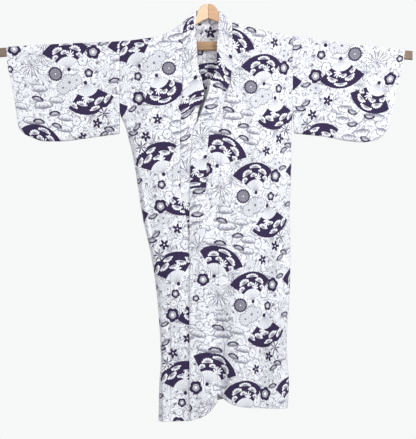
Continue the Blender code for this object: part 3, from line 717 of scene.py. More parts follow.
def hangRows(length):  # shares of the drop from the ridge to the hem, closer together at the hem
    end = 1 - hemRows / length
    count = round(end[0] * length / cloth["face"])
    return np.concatenate([np.linspace(0, end[0], count + 1)[1:-1], end])


laying = {"startDrop": 0.19, "length": 1.27, "rounds": 8}  # a first guess, and how often it is bettered


def ridgeRound(x):
    return robe["ridgeRound"]


def layDown(acrossOf, rowShares, topOf, roundOf, hemOf):
    # Solves each point's place across and drop together. acrossOf(drop) gives rows x columns
    ridge = len(ridgeSteps)
    steps = np.concatenate([ridgeSteps, np.ones(len(rowShares))])[:, None]
    shares = np.concatenate([np.zeros(ridge), rowShares])[:, None]
    drop = laying["startDrop"] + laying["length"] * shares
    for _ in range(laying["rounds"]):
        x = acrossOf(drop)
        first = topOf(x) + steps * roundOf(x)
        drop = first + (hemOf(x) - first) * shares
    return x, drop


def arcAcross(x, y):
    steps = np.hypot(np.diff(x, axis=1), np.diff(y, axis=1))
    return np.concatenate([np.zeros((len(x), 1)), np.cumsum(steps, axis=1)], axis=1)


# Where the print lies on each strip, 1 the left and -1 the right one. line: drop, across of a line along
# the grain; at: a drop on it, and the place in the repeat that lies there; way: 1 upright, -1 upside
# down; gather: cloth taken up across, to the right and to the left of the line
grain = {
    1: {
        "line": [
            (0.150, 0.196), (0.298, 0.188), (0.682, 0.158),
            (1.054, 0.148), (1.409, 0.124), (1.520, 0.120),
        ],
        "at": (0.298, 0, 0),
        "way": 1,
        "gather": (1.03, 1.34),
    },
    -1: {
        "line": [
            (0.150, -0.270), (0.226, -0.257), (0.593, -0.175),
            (0.974, -0.117), (1.358, -0.090), (1.520, -0.084),
        ],
        "at": (0.593, 78, 174),
        "way": -1,
        "gather": (1.08, 1.08),
    },
    "stretch": 1.0127,  # cloth taken up by small folds
    "gatherBlend": 0.02,
    "turnDrop": 0.185,  # where the strip turns over the shoulder
    "turnEase": 0.45,
    "backGather": 1050,  # millimetres of cloth for each metre across the back
}


def gathered(across, layout):  # from metres across the hung robe to millimetres of cloth
    right, left = layout["gather"]
    blend = grain["gatherBlend"]
    return (across * right + (left - right) * 0.5 * (across + np.hypot(across, blend) - blend)) * 1000


def printPlace(x, y, drop, layout, alongCloth):
    # Where each point lies on the cloth, across and down it in millimetres
    line = curve(layout["line"])
    lineX = line(drop)
    step = printed["slopeStep"]
    slope = (line(drop + step) - line(drop - step)) / (2 * step)
    lean = np.arctan(slope)
    across = (x - lineX) * np.cos(lean)
    if alongCloth:
        run = arcAcross(x, y)
        order = 1 if x[len(x) // 2, -1] > x[len(x) // 2, 0] else -1
        for row in range(len(run)):
            aim = order * lineX[row].mean()
            reached = np.clip(aim, order * x[row, 0], order * x[row, -1])
            centre = np.interp(reached, order * x[row], run[row]) + aim - reached
            across[row] = order * (run[row] - centre)
    startDrop, tileX, tileY = layout["at"]
    down = (drop - startDrop) * grain["stretch"] + np.sin(lean) * (x - lineX)
    way = layout["way"]
    return np.stack([tileX + way * gathered(across, layout), tileY + way * down * 1000], axis=2)


def shoulderTurn(x, drop, topDrop, front):  # the same cloth carried on over the shoulder, down the back
    startDrop, tileX, tileY = front["at"]
    way, turnDrop = front["way"], grain["turnDrop"]
    lineX = curve(front["line"])(np.full_like(x, turnDrop))
    nearTurn = 1 - ease(0.0, grain["turnEase"], drop - topDrop)
    down = (2 * (turnDrop + (topDrop - turnDrop) * nearTurn) - drop - startDrop) * grain["stretch"]
    return np.stack([tileX + way * (x - lineX) * grain["backGather"], tileY + way * down * 1000], axis=2)


def okumiSeam(side, drop):
    seam = okumiSeamOf[side](drop)
    tip = robe["okumiTip"] * ease(robe["okumiStart"] - 0.02, robe["okumiStart"], drop)
    least = collarSeamOf[side](drop) + side * tip
    return np.maximum(seam, least) if side > 0 else np.minimum(seam, least)


rollTurns = np.radians(np.linspace(90, 0, cloth["rollColumns"]))


def sideColumns(side, innerOf, evenShares):
    # Places across from a seam to the side fold and round it, and how far each is from the fold
    shares = np.concatenate([evenShares[:-1], np.ones(len(rollTurns))])
    turns = np.concatenate([np.full(len(evenShares) - 1, math.pi / 2), rollTurns])

    def acrossOf(drop):
        inner = innerOf(drop)
        edge = outlineOf[side](drop) - side * cloth["gap"] / 2
        even = inner + (edge - side * robe["sideRoll"] - inner) * shares
        rolled = edge - side * robe["sideRoll"] * (1 - np.cos(turns))
        return np.where(turns < math.pi / 2 - 1e-6, rolled, even)

    return acrossOf, np.sin(turns)


def closeSide(y, drop, open_):  # open above the armhole's end, and folded shut below it
    shut = ease(*robe["armholeEnd"], drop)
    return robe["sideFoldY"] + (y - robe["sideFoldY"]) * (1 + (open_ - 1) * shut)


def asPoints(x, y, drop):
    return np.stack([x, y, -drop], axis=2)


def bodyFront(side):
    def innerOf(drop):
        return okumiSeam(side, drop) + side * cloth["seam"]

    acrossOf, open_ = sideColumns(side, innerOf, evenSteps(robe["frontWidth"], True, False))
    hem = hemFrontOf[side]
    x, drop = layDown(acrossOf, hangRows(robe["bodyLength"]), shoulderDrop, ridgeRound, hem)
    y = frontOf(side, x, drop) + edgeRoll(x - innerOf(drop)) + edgeRoll(hem(x) - drop)
    y += hemStitch(hem(x) - drop)
    y = closeSide(y, drop, open_)
    return asPoints(x, y, drop), printPlace(x, y, drop, grain[side], True), side


def bodyBack(side):
    count = robe["neckColumns"]
    neck = np.cos(math.pi * np.arange(count, 0, -1) / (2 * count)) * robe["neckHalf"]
    neck[0] = cloth["gap"] / 2

    def innerOf(drop):
        return side * (robe["neckHalf"] + cloth["seam"]) + 0 * drop

    sideOf, open_ = sideColumns(side, innerOf, evenSteps(robe["backWidth"], True, False))

    def acrossOf(drop):
        rest = sideOf(drop[:, len(neck):] if drop.shape[1] > 1 else drop)
        return np.concatenate([np.broadcast_to(side * neck, (len(rest), len(neck))), rest], axis=1)

    open_ = np.concatenate([np.ones(len(neck)), open_])
    x, drop = layDown(acrossOf, hangRows(robe["bodyLength"]), backTopDrop, backRound, hemBack)
    y = backY(x, drop) - edgeRoll(x) - edgeRoll(hemBack(x) - drop)
    y = closeSide(y, drop, open_)
    topDrop = shoulderDrop(np.sign(x) * np.maximum(np.abs(x), robe["neckHalf"]))
    return asPoints(x, y, drop), shoulderTurn(x, drop, topDrop, grain[side]), -side


def makeBody(side, name):
    return makeSheet(name, [bodyFront(side), bodyBack(side)], cloth["thick"])


def makeOkumi(side, name):
    start = robe["okumiStart"]
    hem = hemOkumiOf[side]
    shares = evenSteps(robe["okumiWidths"][side], True, True)
    rows = np.concatenate([[0.0], hangRows(robe["okumiLength"])])[:, None]
    drop = start + robe["okumiLength"] * rows * np.ones_like(shares)
    seamOf = collarSeamOf[side]
    for _ in range(laying["rounds"]):
        inner = seamOf(drop) + side * cloth["seam"]
        x = inner + (okumiSeam(side, drop) - inner) * shares
        drop = start + (hem(x) - start) * rows
    y = frontOf(side, x, drop)
    y += edgeRoll(x - okumiSeam(side, drop)) + edgeRoll(x - seamOf(drop)) + edgeRoll(hem(x) - drop)
    y += hemStitch(hem(x) - drop)
    grid = (asPoints(x, y, drop), printPlace(x, y, drop, grain[side], False), side)
    return makeSheet(name, [grid], cloth["thick"])


collar = {
    "width": 0.055,
    "topDrop": 0.106,
    "endDrop": 0.950,
    "backY": 0.0165,
    "bulge": 0.004,
    "length": 1.3,
    "foldedEdge": 1.4,  # the free edge is a fold and turns in more than a seam
    "puff": 0.0012,
    "puffDrop": (0.20, 0.30),
    "neckSteps": 48,
    # one point of the print on each half: its share across the band, its drop, and its place in the repeat
    "fans": {1: (0.58, 0.336), -1: (0.21, 0.437)},
    "fanPlace": (-108, 276),
}


def collarFront(side, shares):
    def acrossOf(drop):
        seam = collarSeamOf[side](drop)
        return seam + (freeEdgeOf[side](drop) - seam) * shares

    x, drop = layDown(acrossOf, hangRows(collar["length"]), shoulderDrop, ridgeRound, hemOkumiOf[side])
    keep = drop[:, 0] < collar["endDrop"]
    x, drop = x[keep], drop[keep]
    y = frontOf(side, x, drop)
    folded = collar["foldedEdge"] * edgeRoll(x - freeEdgeOf[side](drop))
    y += edgeRoll(x - collarSeamOf[side](drop)) + folded
    y -= collar["puff"] * np.sin(math.pi * shares) * ease(*collar["puffDrop"], drop)
    return x, y, drop


def makeCollar():
    shares = evenSteps(collar["width"], True, True)
    lx, ly, ld = collarFront(1, shares)
    rx, ry, rd = collarFront(-1, shares)
    # round the back of the neck, from the left front's first row to the right one's
    turns = math.pi * np.arange(1, collar["neckSteps"]) / collar["neckSteps"]
    swing, back = np.cos(turns)[:, None], np.sin(turns)[:, None]
    end = np.where(swing > 0, np.abs(lx[0]), np.abs(rx[0]))
    endDrop = np.where(swing > 0, ld[0], rd[0])
    seamX = robe["neckHalf"] * swing
    nx = seamX + (end * swing - seamX) * shares
    seamDrop = backTopDrop(seamX) - cloth["seam"]
    freeDrop = collar["topDrop"] + (endDrop - collar["topDrop"]) * swing * swing
    nd = seamDrop + (freeDrop - seamDrop) * shares
    seamY = backTopY(seamX)
    ny = seamY + (collar["backY"] * back ** (2 * robe["neckHug"]) - seamY) * shares
    ny = ny + collar["bulge"] * back * np.sin(math.pi * shares)
    place = np.concatenate([asPoints(lx, ly, ld)[::-1], asPoints(nx, ny, nd), asPoints(rx, ry, rd)])
    along = np.linalg.norm(np.diff(place[:, place.shape[1] // 2], axis=0), axis=1)
    run = np.concatenate([[0.0], np.cumsum(along)])
    half = len(lx) + len(nx) // 2
    # both halves of the band are upside down, so it is joined at the back of the neck
    grids = []
    for side, rows in ((1, slice(0, half + 1)), (-1, slice(half, None))):
        fanShare, fanDrop = collar["fans"][side]
        fronts = {1: np.arange(len(lx)), -1: np.arange(len(place) - len(rx), len(place))}[side]
        fanRow = fronts[np.argmin(np.abs(-place[fronts, 0, 2] - fanDrop))]
        across = side * collar["width"] * 1000 * (shares - fanShare)
        down = side * (run[rows, None] - run[fanRow]) * 1000
        tileX, tileY = collar["fanPlace"]
        spot = np.stack(np.broadcast_arrays(tileX + across, tileY + down), axis=2)
        grids.append((place[rows], spot, 1))
    return makeSheet("collar_cloth", grids, cloth["collarThick"])


sleeve = {
    "footRoll": 0.012,
    "corner": 0.7,
    "slim": 0.30,
    "slimFrom": 0.25,
    "width": 0.385,
    "fans": {1: (208, 0.322), -1: (200, 0.248)},  # the first fan: millimetres from the cuff, and drop
    "rows": 64,
    "footSteps": 11,
}


def sleeveFace(side, front):
    cuffRows, footRows = cuffs[side], sleeveFeet[side]
    armhole = robe["armholeLeft" if side > 0 else "armholeRight"] + side * cloth["gap"]
    cuffX, footX, footEnd = cuffRows[0][1], footRows[0][0], footRows[-1][0]
    shares = evenSteps(sleeve["width"], True, True)
    topX = cuffX + (armhole - cuffX) * shares
    top = shoulderDrop(topX)
    lowX = footX + (footEnd - footX) * shares
    low = curve(sorted(footRows))(lowX)
    first, last = top + robe["ridgeRound"], low - sleeve["footRoll"]
    hang = np.linspace(0, 1, sleeve["rows"])[1:-1, None]
    turns = np.radians(np.linspace(90, 0, sleeve["footSteps"]))[:, None]
    drop = np.concatenate([
        top + ridgeSteps[:, None] * robe["ridgeRound"],
        first + (last - first) * hang,
        low - sleeve["footRoll"] * (1 - np.cos(turns)),
    ])
    open_ = np.concatenate([np.ones((len(ridgeSteps) + len(hang), 1)), np.sin(turns)])
    down = np.clip((drop - top) / (low - top), 0, 1)
    cuff = curve(cuffRows)(cuffRows[0][0] + (cuffRows[-1][0] - cuffRows[0][0]) * down)
    inner = armhole + (footEnd - armhole) * ease(sleeve["corner"], 1.0, down)
    x = topX + (lowX - topX) * down
    x = x + (cuff - (cuffX + (footX - cuffX) * down)) * (1 - shares)
    x = x + (inner - (armhole + (footEnd - armhole) * down)) * shares
    y = frontY(x, drop) if front else backY(x, drop)
    rolled = edgeRoll(shares * sleeve["width"]) + edgeRoll((1 - shares) * sleeve["width"])
    y = y + rolled if front else y - rolled
    slim = 1 - sleeve["slim"] * ease(sleeve["slimFrom"], 1.0, down)
    y = pole["y"] + (y - pole["y"]) * (slim + (1 - slim) * shares ** 3)
    y = pole["y"] + (y - pole["y"]) * open_
    # the print is upright on the front of the right sleeve, and upside down on the left one's
    fromCuff = shares * sleeve["width"] * 1000 + 0 * x
    down = drop if front else 2 * top - drop
    fanX, fanDrop = sleeve["fans"][side]
    spot = np.stack([fromCuff - fanX, side * (fanDrop - down) * 1000], axis=2)
    return asPoints(x, y, drop), spot, -side if front else side


def makeSleeve(side, name):
    return makeSheet(name, [sleeveFace(side, True), sleeveFace(side, False)], cloth["thick"])


# Materials

# Each kind of motif, by its number: lobes / 20, inner radius and sharpness / 10; rim, fill and eye
motifLooks = {
    "hero": {
        "middleKind": 4.0,  # the kinds up to 2.5 from this one are drawn from the table
        "sprays": 0.0,  # the kinds as near as this to 3.5 hang like a spray of leaves
        "rayTones": (0.30, 0.70),
        "eyeTone": 0.0,
        "kinds": [
            (2, (0.125, 0.76, 0.06), (0.44, 0.72, 0.24)),
            (3, (0.450, 0.90, 0.10), (0.20, 1.00, 0.10)),
            (4, (0.125, 0.42, 0.16), (0.78, 0.80, 0.14)),
            (5, (0.300, 0.86, 0.05), (0.38, 0.46, 0.00)),
            (6, (0.175, 0.06, 0.50), (0.90, 0.90, 0.00)),
        ],
    },
    "line": {
        "middleKind": 3.0,
        "sprays": 0.6,
        "rayTones": (0.85, 0.15),
        "eyeTone": 1.0,
        "kinds": [
            (1, (0.400, 0.88, 0.08), (0.07, 0.60, 0.16)),
            (2, (0.125, 0.74, 0.06), (0.13, 0.10, 0.14)),
            (3, (0.400, 0.06, 0.80), (0.90, 0.90, 0.00)),
            (4, (0.175, 0.10, 0.30), (0.26, 0.12, 0.00)),
            (5, (0.200, 0.84, 0.06), (0.10, 0.05, 0.00)),
        ],
    },
}
# the pines on a fan's leaf: middle across, height of the foot, half width, height
fanPines = [
    (-0.44, 0.46, 0.31, 0.24), (-0.80, 0.20, 0.24, 0.22), (0.06, 0.72, 0.34, 0.17),
    (0.54, 0.50, 0.30, 0.23), (-0.10, 0.22, 0.24, 0.20), (0.88, 0.24, 0.20, 0.24),
]
# places for a leaf in each metre, its half length and half width in metres, share of places that have one
thinLeaves = {
    "bigLeaf": (44.0, 0.0125, 0.0030, 0.66),
    "fineLeaf": (88.0, 0.0070, 0.0010, 0.62),
}
cotton = {
    "white": "#F3F5FA",
    "grey": "#7C7A8C",
    "ink": "#33274A",
    "threads": (400, 45),  # each metre, across and along a thread
    "threadTone": 0.10,
    "threadHigh": 0.0004,
    "bump": 0.35,
    "roughness": 0.88,
    "sheen": 0.12,
    "sheenRoughness": 0.5,
    "specular": 0.25,
}


def readPlace(tree, layer):
    # The place across and up from the nearest motif's middle, in its radii, and the motif's kind
    read = addNode(tree, "ShaderNodeAttribute", {"attribute_name": layer})
    parts = addNode(tree, "ShaderNodeSeparateXYZ", inputs={0: read.outputs["Vector"]})
    return dict(zip(("x", "y", "kind"), parts.outputs))


def drawMotifs(tree, layer):  # flowers, wheels, pine clouds and sprays, each a curve round its middle
    looks = motifLooks[layer]
    known = readPlace(tree, layer)
    work(tree, [("pick", "MULTIPLY", "kind", 0.1)], known)
    for column, names in ((1, ("lobes20", "inner", "sharp10")), (2, ("rimWidth", "fill", "eyeSize"))):
        table = addNode(tree, "ShaderNodeValToRGB", inputs={0: known["pick"]})
        table.color_ramp.interpolation = "CONSTANT"
        stops = table.color_ramp.elements
        stops[0].color = (0.1, 0.5, 0.1, 1)
        stops.remove(stops[1])
        for row in looks["kinds"]:
            stops.new((row[0] - 0.5) / 10).color = (*row[column], 1)
        parts = addNode(tree, "ShaderNodeSeparateColor", inputs={0: table.outputs[0]})
        known.update(zip(names, parts.outputs))
    steps = [
        # a pine cloud is a dome with a flat foot
        ("flat", "COMPARE", "kind", 5.0, 0.2),
        ("low", "LESS_THAN", "y", 0.0),
        ("lowFlat", "MULTIPLY", "low", "flat"),
        ("squashTop", "MULTIPLY_ADD", "flat", 0.75, 1.0),
        ("squash", "MULTIPLY_ADD", "lowFlat", -5.2, "squashTop"),
        ("tall", "MULTIPLY", "y", "squash"),
        *distanceSums("away", "tall", "x"),
        ("angle", "ARCTAN2", "x", "tall"),
        # petals, points or needles
        ("lobes", "MULTIPLY", "lobes20", 20.0),
        ("spin", "MULTIPLY", "angle", "lobes"),
        ("wave", "COSINE", "spin"),
        ("lobe", "ABSOLUTE", "wave"),
        ("power", "MULTIPLY", "sharp10", 10.0),
        ("sharpLobe", "POWER", "lobe", "power"),
        ("swell", "SUBTRACT", 1.0, "inner"),
        ("lobeReach", "MULTIPLY_ADD", "sharpLobe", "swell", "inner"),
        ("isSpray", "COMPARE", "kind", 3.5, looks["sprays"]),
        ("upward", "COSINE", "angle"),
        ("droopUp", "MULTIPLY_ADD", "upward", -0.36, -0.30),
        ("droop", "MULTIPLY_ADD", "droopUp", "isSpray", 1.0),
        ("reach", "MULTIPLY", "lobeReach", "droop"),
        ("part", "DIVIDE", "away", "reach"),
        ("near", "LESS_THAN", "part", 1.0),
        ("some", "COMPARE", "kind", looks["middleKind"], 2.5),
        ("Inside", "MULTIPLY", "near", "some"),
        # rim
        ("rimStart", "SUBTRACT", 1.0, "rimWidth"),
        ("rim", "GREATER_THAN", "part", "rimStart"),
        ("notFoot", "SUBTRACT", 1.0, "lowFlat"),
        ("rimUp", "MULTIPLY", "rim", "notFoot"),
        ("Rim", "MULTIPLY", "rimUp", "Inside"),
        # rays and eye
        ("rayTurn", "MULTIPLY", "spin", 2.0),
        ("rayWave", "COSINE", "rayTurn"),
        ("ray", "GREATER_THAN", "rayWave", 0.35),
        ("rayTone", "MULTIPLY_ADD", "ray", *looks["rayTones"]),
        ("fillTone", "MULTIPLY", "fill", "rayTone"),
        ("eye", "LESS_THAN", "part", "eyeSize"),
        ("notEye", "SUBTRACT", 1.0, "eye"),
        ("round", "MULTIPLY", "fillTone", "notEye"),
        ("eyeTone", "MULTIPLY", "eye", looks["eyeTone"]),
        ("filled", "MAXIMUM", "round", "eyeTone"),
        ("Body", "MULTIPLY", "filled", "Inside"),
        # a pine cloud's bands of needles, darker at its foot
        ("bandTurn", "MULTIPLY", "part", 16.0),
        ("bandWave", "SINE", "bandTurn"),
        ("bandLine", "GREATER_THAN", "bandWave", 0.5),
        ("footShade", "MULTIPLY_ADD", "y", -2.4, 0.42),
        ("bandTone", "MULTIPLY_ADD", "bandLine", 0.40, "footShade"),
        ("bandShade", "MAXIMUM", "bandTone", 0.0),
        ("bandFlat", "MULTIPLY", "bandShade", "flat"),
        ("Bands", "MULTIPLY", "bandFlat", "Inside"),
    ]
    work(tree, steps, known)
    return {layer + name: known[name] for name in ("Inside", "Rim", "Body", "Bands")}


def drawFans(tree):  # a patterned leaf between two arcs, thin ribs below it and a rivet
    known = readPlace(tree, "hero")
    known["pine"] = 9.0
    halfAngle, inner = printed["fanHalfAngle"], printed["fanInner"]
    steps = [
        ("isUp", "COMPARE", "kind", 1.0, 0.2),
        ("isDown", "COMPARE", "kind", 7.0, 0.2),
        ("isFan", "MAXIMUM", "isUp", "isDown"),
        *distanceSums("away", "x", "y"),
        ("angle", "ARCTAN2", "x", "y"),
        ("beside", "ABSOLUTE", "angle"),
        ("within", "LESS_THAN", "beside", halfAngle),
        ("near", "LESS_THAN", "away", 1.0),
        ("span", "MULTIPLY", "near", "within"),
        ("Whole", "MULTIPLY", "span", "isFan"),
        ("far", "GREATER_THAN", "away", inner),
        ("leaf", "MULTIPLY", "Whole", "far"),
        # across the leaf from -1 to 1, and up it from 0 to 1
        ("across", "MULTIPLY", "angle", 1 / halfAngle),
        ("up", "MULTIPLY_ADD", "away", 1 / (1 - inner), -inner / (1 - inner)),
        # the picture on a fan that hangs is drawn the other way up
        ("flip", "MULTIPLY_ADD", "up", -2.0, 1.0),
        ("pictureUp", "MULTIPLY_ADD", "flip", "isDown", "up"),
    ]
    for middle, foot, halfWidth, height in fanPines:
        steps += [
            ("pineX", "MULTIPLY_ADD", "across", 1 / halfWidth, -middle / halfWidth),
            ("pineY", "MULTIPLY_ADD", "pictureUp", 1 / height, -foot / height),
            ("pineFoot", "MULTIPLY", "pineY", -6.0),
            ("pineTall", "MAXIMUM", "pineY", "pineFoot"),
            *distanceSums("pineAway", "pineX", "pineTall"),
            ("pine", "MINIMUM", "pine", "pineAway"),
        ]
    steps += [
        ("scallopTurn", "MULTIPLY", "across", 58.0),
        ("scallop", "SINE", "scallopTurn"),
        ("pineEdge", "MULTIPLY_ADD", "scallop", 0.09, 0.93),
        ("inPine", "LESS_THAN", "pine", "pineEdge"),
        ("pineShade", "MULTIPLY_ADD", "pine", -1.87, 1.375),
        ("pineTone", "MAXIMUM", "pineShade", 0.0),
        ("pineGrey", "MULTIPLY", "pineTone", "inPine"),
        ("Pines", "MULTIPLY", "pineGrey", "leaf"),
        # a burst of bamboo leaves
        ("burstX", "MULTIPLY_ADD", "across", 1.30, -0.40),
        ("burstY", "SUBTRACT", "up", 0.02),
        *distanceSums("burstAway", "burstX", "burstY"),
        ("burstAngle", "ARCTAN2", "burstX", "burstY"),
        ("burstTurn", "MULTIPLY", "burstAngle", 5.0),
        ("burstWave", "COSINE", "burstTurn"),
        ("burstLobe", "ABSOLUTE", "burstWave"),
        ("burstReach", "MULTIPLY_ADD", "burstLobe", 0.34, 0.06),
        ("inBurst", "LESS_THAN", "burstAway", "burstReach"),
        # ink everywhere else on the leaf, and along its outer edge
        ("pale", "MAXIMUM", "inPine", "inBurst"),
        ("belowEdge", "LESS_THAN", "up", 0.95),
        ("paleIn", "MULTIPLY", "pale", "belowEdge"),
        ("dark", "SUBTRACT", 1.0, "paleIn"),
        ("Ink", "MULTIPLY", "leaf", "dark"),
        ("ribTurn", "MULTIPLY", "across", 6.0),
        ("ribPlace", "FRACT", "ribTurn"),
        ("ribOff", "SUBTRACT", "ribPlace", 0.5),
        ("ribBeside", "ABSOLUTE", "ribOff"),
        ("ribWidth", "MULTIPLY", "ribBeside", "away"),
        ("rib", "LESS_THAN", "ribWidth", 0.050),
        ("belowLeaf", "SUBTRACT", "Whole", "leaf"),
        ("Ribs", "MULTIPLY", "rib", "belowLeaf"),
        ("atRivet", "LESS_THAN", "away", 0.060),
        ("Rivet", "MULTIPLY", "atRivet", "isFan"),
    ]
    work(tree, steps, known)
    return {"fan" + name: known[name] for name in ("Whole", "Pines", "Ink", "Ribs", "Rivet")}


def drawLeaves(tree, place):  # pale line work between the motifs: flowing stems, with leaves of two sizes
    stems = addNode(tree, "ShaderNodeTexNoise", {"noise_dimensions": "2D"}, {
        "Vector": place, "Scale": 15.0, "Detail": 1.5, "Roughness": 0.5})
    known = {"noise": stems.outputs[0]}
    work(tree, [
        ("contour", "MULTIPLY", "noise", 9.0),
        ("contourPart", "FRACT", "contour"),
        ("contourOff", "SUBTRACT", "contourPart", 0.5),
        ("contourAway", "ABSOLUTE", "contourOff"),
        ("stem", "LESS_THAN", "contourAway", 0.062),
    ], known)
    for name, (scale, halfLong, halfWide, share) in thinLeaves.items():
        spots = addNode(tree, "ShaderNodeTexVoronoi", {"voronoi_dimensions": "2D", "feature": "F1"}, {
            "Vector": place, "Scale": scale, "Randomness": 0.95})
        chances = addNode(tree, "ShaderNodeSeparateColor", inputs={0: spots.outputs["Color"]})
        offset = addNode(tree, "ShaderNodeVectorMath", {"operation": "SUBTRACT"}, {
            0: place, 1: spots.outputs["Position"]})
        offsets = addNode(tree, "ShaderNodeSeparateXYZ", inputs={0: offset.outputs[0]})
        known.update(zip(("turnChance", "keepChance"), chances.outputs))
        known.update(zip(("x", "y"), offsets.outputs))
        work(tree, [
            ("turn", "MULTIPLY", "turnChance", 6.283),
            ("turnCos", "COSINE", "turn"),
            ("turnSin", "SINE", "turn"),
            ("alongX", "MULTIPLY", "x", "turnCos"),
            ("along", "MULTIPLY_ADD", "y", "turnSin", "alongX"),
            ("besideX", "MULTIPLY", "x", "turnSin"),
            ("besideY", "MULTIPLY", "y", "turnCos"),
            ("beside", "SUBTRACT", "besideY", "besideX"),
            ("alongPart", "MULTIPLY", "along", 1 / halfLong),
            ("besidePart", "MULTIPLY", "beside", 1 / halfWide),
            ("alongSquare", "MULTIPLY", "alongPart", "alongPart"),
            ("square", "MULTIPLY_ADD", "besidePart", "besidePart", "alongSquare"),
            ("inLeaf", "LESS_THAN", "square", 1.0),
            ("tone", "MULTIPLY_ADD", "square", 0.85, 0.15),
            ("kept", "LESS_THAN", "keepChance", share),
            ("shown", "MULTIPLY", "inLeaf", "kept"),
            (name, "MULTIPLY", "shown", "tone"),
        ], known)
    return {name: known[name] for name in ("stem", *thinLeaves)}


def wovenCotton():
    # Plain-weave cotton, printed on the face and showing through: matt, cool white, with a faint sheen
    made = newMaterial("Printed plain-weave cotton")
    tree = made.node_tree
    place = addNode(tree, "ShaderNodeAttribute", {"attribute_name": "cloth"}).outputs["Vector"]
    known = drawMotifs(tree, "hero")
    for drawn in (drawMotifs(tree, "line"), drawFans(tree), drawLeaves(tree, place)):
        known.update(drawn)
    work(tree, [
        ("besideFans", "SUBTRACT", 1.0, "fanWhole"),
        ("besideHeroes", "SUBTRACT", "besideFans", "heroInside"),
        ("ground", "MAXIMUM", "besideHeroes", 0.0),
        ("stemTone", "MULTIPLY", "stem", 0.70),
        ("leafTone", "MAXIMUM", "bigLeaf", "fineLeaf"),
        ("groundTone", "MAXIMUM", "stemTone", "leafTone"),
        ("lineQuiet", "MULTIPLY_ADD", "lineInside", -0.70, 1.0),
        ("groundQuiet", "MULTIPLY", "groundTone", "lineQuiet"),
        ("lineDrawn", "MAXIMUM", "lineRim", "lineBody"),
        ("lineBanded", "MAXIMUM", "lineDrawn", "lineBands"),
        ("lineTone", "MAXIMUM", "lineBanded", "groundQuiet"),
        ("groundGrey", "MULTIPLY", "lineTone", "ground"),
        ("ribTone", "MULTIPLY", "fanRibs", 0.60),
        ("fanGrey", "MAXIMUM", "ribTone", "fanPines"),
        ("greys", "MAXIMUM", "fanGrey", "groundGrey"),
        ("allGreys", "MAXIMUM", "greys", "heroBands"),
        ("grey", "MINIMUM", "allGreys", 1.0),
        ("rimInk", "MAXIMUM", "fanInk", "heroRim"),
        ("bodyInk", "MULTIPLY", "heroBody", 0.92),
        ("motifInk", "MAXIMUM", "rimInk", "bodyInk"),
        ("ink", "MAXIMUM", "motifInk", "fanRivet"),
    ], known)
    greyed = mixColours(tree, known["grey"], linear(cotton["white"]), linear(cotton["grey"]))
    inked = mixColours(tree, known["ink"], greyed, linear(cotton["ink"]))

    # threads are about 0.4 mm apart, too fine for the render, so they are drawn 2.5 mm apart
    fine, long = cotton["threads"]
    for name, scale in (("warp", (fine, long, 1)), ("weft", (long, fine, 1))):
        laid = addNode(tree, "ShaderNodeMapping", inputs={0: place, "Scale": scale})
        noise = addNode(tree, "ShaderNodeTexNoise", {"noise_dimensions": "2D"}, {
            "Vector": laid.outputs[0], "Scale": 1.0, "Detail": 1.0})
        known[name] = noise.outputs[0]
    work(tree, [
        ("threads", "ADD", "warp", "weft"),
        ("threadTone", "MULTIPLY_ADD", "threads", cotton["threadTone"], 1 - cotton["threadTone"]),
    ], known)
    toned = addNode(tree, "ShaderNodeVectorMath", {"operation": "SCALE"}, {
        0: inked, "Scale": known["threadTone"]})
    bump = addNode(tree, "ShaderNodeBump", inputs={
        "Strength": cotton["bump"], "Distance": cotton["threadHigh"], "Height": known["threads"]})
    return closeMaterial(made, "ShaderNodeBsdfPrincipled", {
        "Base Color": toned.outputs[0],
        "Roughness": cotton["roughness"],
        "Sheen Weight": cotton["sheen"],
        "Sheen Roughness": cotton["sheenRoughness"],
        "Specular IOR Level": cotton["specular"],
        "Normal": bump.outputs[0],
    })


# grain leans by an angle in degrees; rings each metre; ends: the grey-brown of painted shade laid on the
# ends, if any
woods = {
    # the hanger's two halves are one wood: the left half's darker tones are painted shade, the right
    # half's paler ones painted light
    "hanger_half_left": {
        "name": "Varnished pale wood, left half, darkened as painted shade", "pale": "#DDB78C", "dark": "#C0936A", "lean": -28,
        "rings": 160, "rough": 0.42, "coat": 0.35, "worn": 0.10, "ends": None,
    },
    "hanger_half_right": {
        "name": "Varnished pale wood, right half, lightened as painted light", "pale": "#F0D6B6", "dark": "#E4BE96", "lean": 28,
        "rings": 160, "rough": 0.42, "coat": 0.35, "worn": 0.10, "ends": None,
    },
    "pole": {
        "name": "Aged bare pine, ends painted in shade", "pale": "#E6BF93", "dark": "#7E5E46", "lean": 2,
        # painted shade: the pole's ends are darkened to a grey-brown
        "rings": 150, "rough": 0.68, "coat": 0.0, "worn": 0.55, "ends": "#766860",
    },
}


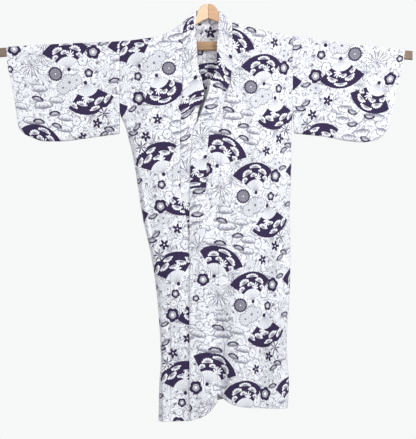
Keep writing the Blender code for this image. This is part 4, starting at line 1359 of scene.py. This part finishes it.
def sawnWood(look):
    # Sawn softwood: long grain lines and pores along the length, given by stretched noise in bands
    made = newMaterial(look["name"])
    tree = made.node_tree
    place = addNode(tree, "ShaderNodeTexCoord").outputs["Object"]
    turned = addNode(tree, "ShaderNodeMapping", inputs={
        0: place, "Rotation": (0, math.radians(look["lean"]), 0), "Scale": (6, 60, look["rings"])})
    pores = addNode(tree, "ShaderNodeTexNoise", inputs={
        "Vector": turned.outputs[0], "Scale": 1.0, "Detail": 6.0, "Roughness": 0.6, "Distortion": 0.6})
    rings = addNode(tree, "ShaderNodeTexWave", {"wave_type": "BANDS", "bands_direction": "Z"}, {
        "Vector": turned.outputs[0], "Scale": 0.55, "Distortion": 5.0, "Detail": 3.0, "Detail Scale": 1.2})
    mixed = addNode(tree, "ShaderNodeMath", {"operation": "MULTIPLY"}, {
        0: pores.outputs[0], 1: rings.outputs[1]})
    tones = addNode(tree, "ShaderNodeValToRGB", inputs={0: mixed.outputs[0]})
    for stop, where, colour in zip(tones.color_ramp.elements, (0.10, 0.55), (look["dark"], look["pale"])):
        stop.position = where
        stop.color = linear(colour)
    colour = tones.outputs[0]
    if look["ends"]:  # painted shade: the pole's ends, where they stand out of the cuffs, are darkened to a grey-brown
        along = addNode(tree, "ShaderNodeSeparateXYZ", inputs={0: place})
        away = addNode(tree, "ShaderNodeMath", {"operation": "ABSOLUTE"}, {0: along.outputs[0]})
        grey = addNode(tree, "ShaderNodeMapRange", inputs={
            "Value": away.outputs[0], "From Min": 0.60, "From Max": 0.69, "To Max": 0.8})
        colour = mixColours(tree, grey.outputs[0], colour, linear(look["ends"]))
    bump = addNode(tree, "ShaderNodeBump", inputs={
        "Strength": look["worn"], "Distance": 0.0006, "Height": mixed.outputs[0]})
    return closeMaterial(made, "ShaderNodeBsdfPrincipled", {
        "Base Color": colour, "Roughness": look["rough"], "Coat Weight": look["coat"],
        "Coat Roughness": 0.25, "Normal": bump.outputs[0]})


def platedWire():
    # Nickel-plated steel wire, drawn and bent: bright, with fine lines from the die
    made = newMaterial("Nickel-plated steel wire")
    tree = made.node_tree
    place = addNode(tree, "ShaderNodeTexCoord")
    lines = addNode(tree, "ShaderNodeTexNoise", inputs={
        "Vector": place.outputs["Object"], "Scale": 900.0, "Detail": 3.0})
    rough = addNode(tree, "ShaderNodeMapRange", inputs={
        "Value": lines.outputs[0], "To Min": 0.18, "To Max": 0.34})
    return closeMaterial(made, "ShaderNodeBsdfPrincipled", {
        "Base Color": linear("#A6A6AA"), "Metallic": 1.0, "Roughness": rough.outputs[0]})


print("4. Cloth pieces")
printedCotton = wovenCotton()
# piece, solids it replaces, width and length of the cut that shows, its area where it tapers
pieces = [
    (makeBody(1, "body_left_cloth"), ("body_left_front", "body_left_back"), (0.29, 2.60), None),
    (makeBody(-1, "body_right_cloth"), ("body_right_front", "body_right_back"), (0.25, 2.62), None),
    (makeOkumi(1, "okumi_left_cloth"), ("okumi_left",), (0.11, 1.12), 0.092),
    (makeOkumi(-1, "okumi_right_cloth"), ("okumi_right",), (0.13, 1.12), 0.110),
    (makeCollar(), ("collar",), (0.055, 1.92), None),
    (makeSleeve(1, "sleeve_left_cloth"), ("sleeve_left",), (0.385, 0.66), None),
    (makeSleeve(-1, "sleeve_right_cloth"), ("sleeve_right",), (0.385, 0.66), None),
]
for piece, nodes, cut, area in pieces:
    piece.data.materials.append(printedCotton)
    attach(piece, "root")
    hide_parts(*nodes)

print("5. Hanger, hook and pole")
finishes = {node: sawnWood(look) for node, look in woods.items()}
finishes["hanger_hook"] = platedWire()
for node, finish in finishes.items():
    held = bpy.data.objects[node]
    held.data.materials.clear()
    held.data.materials.append(finish)

print("6. Finishing")
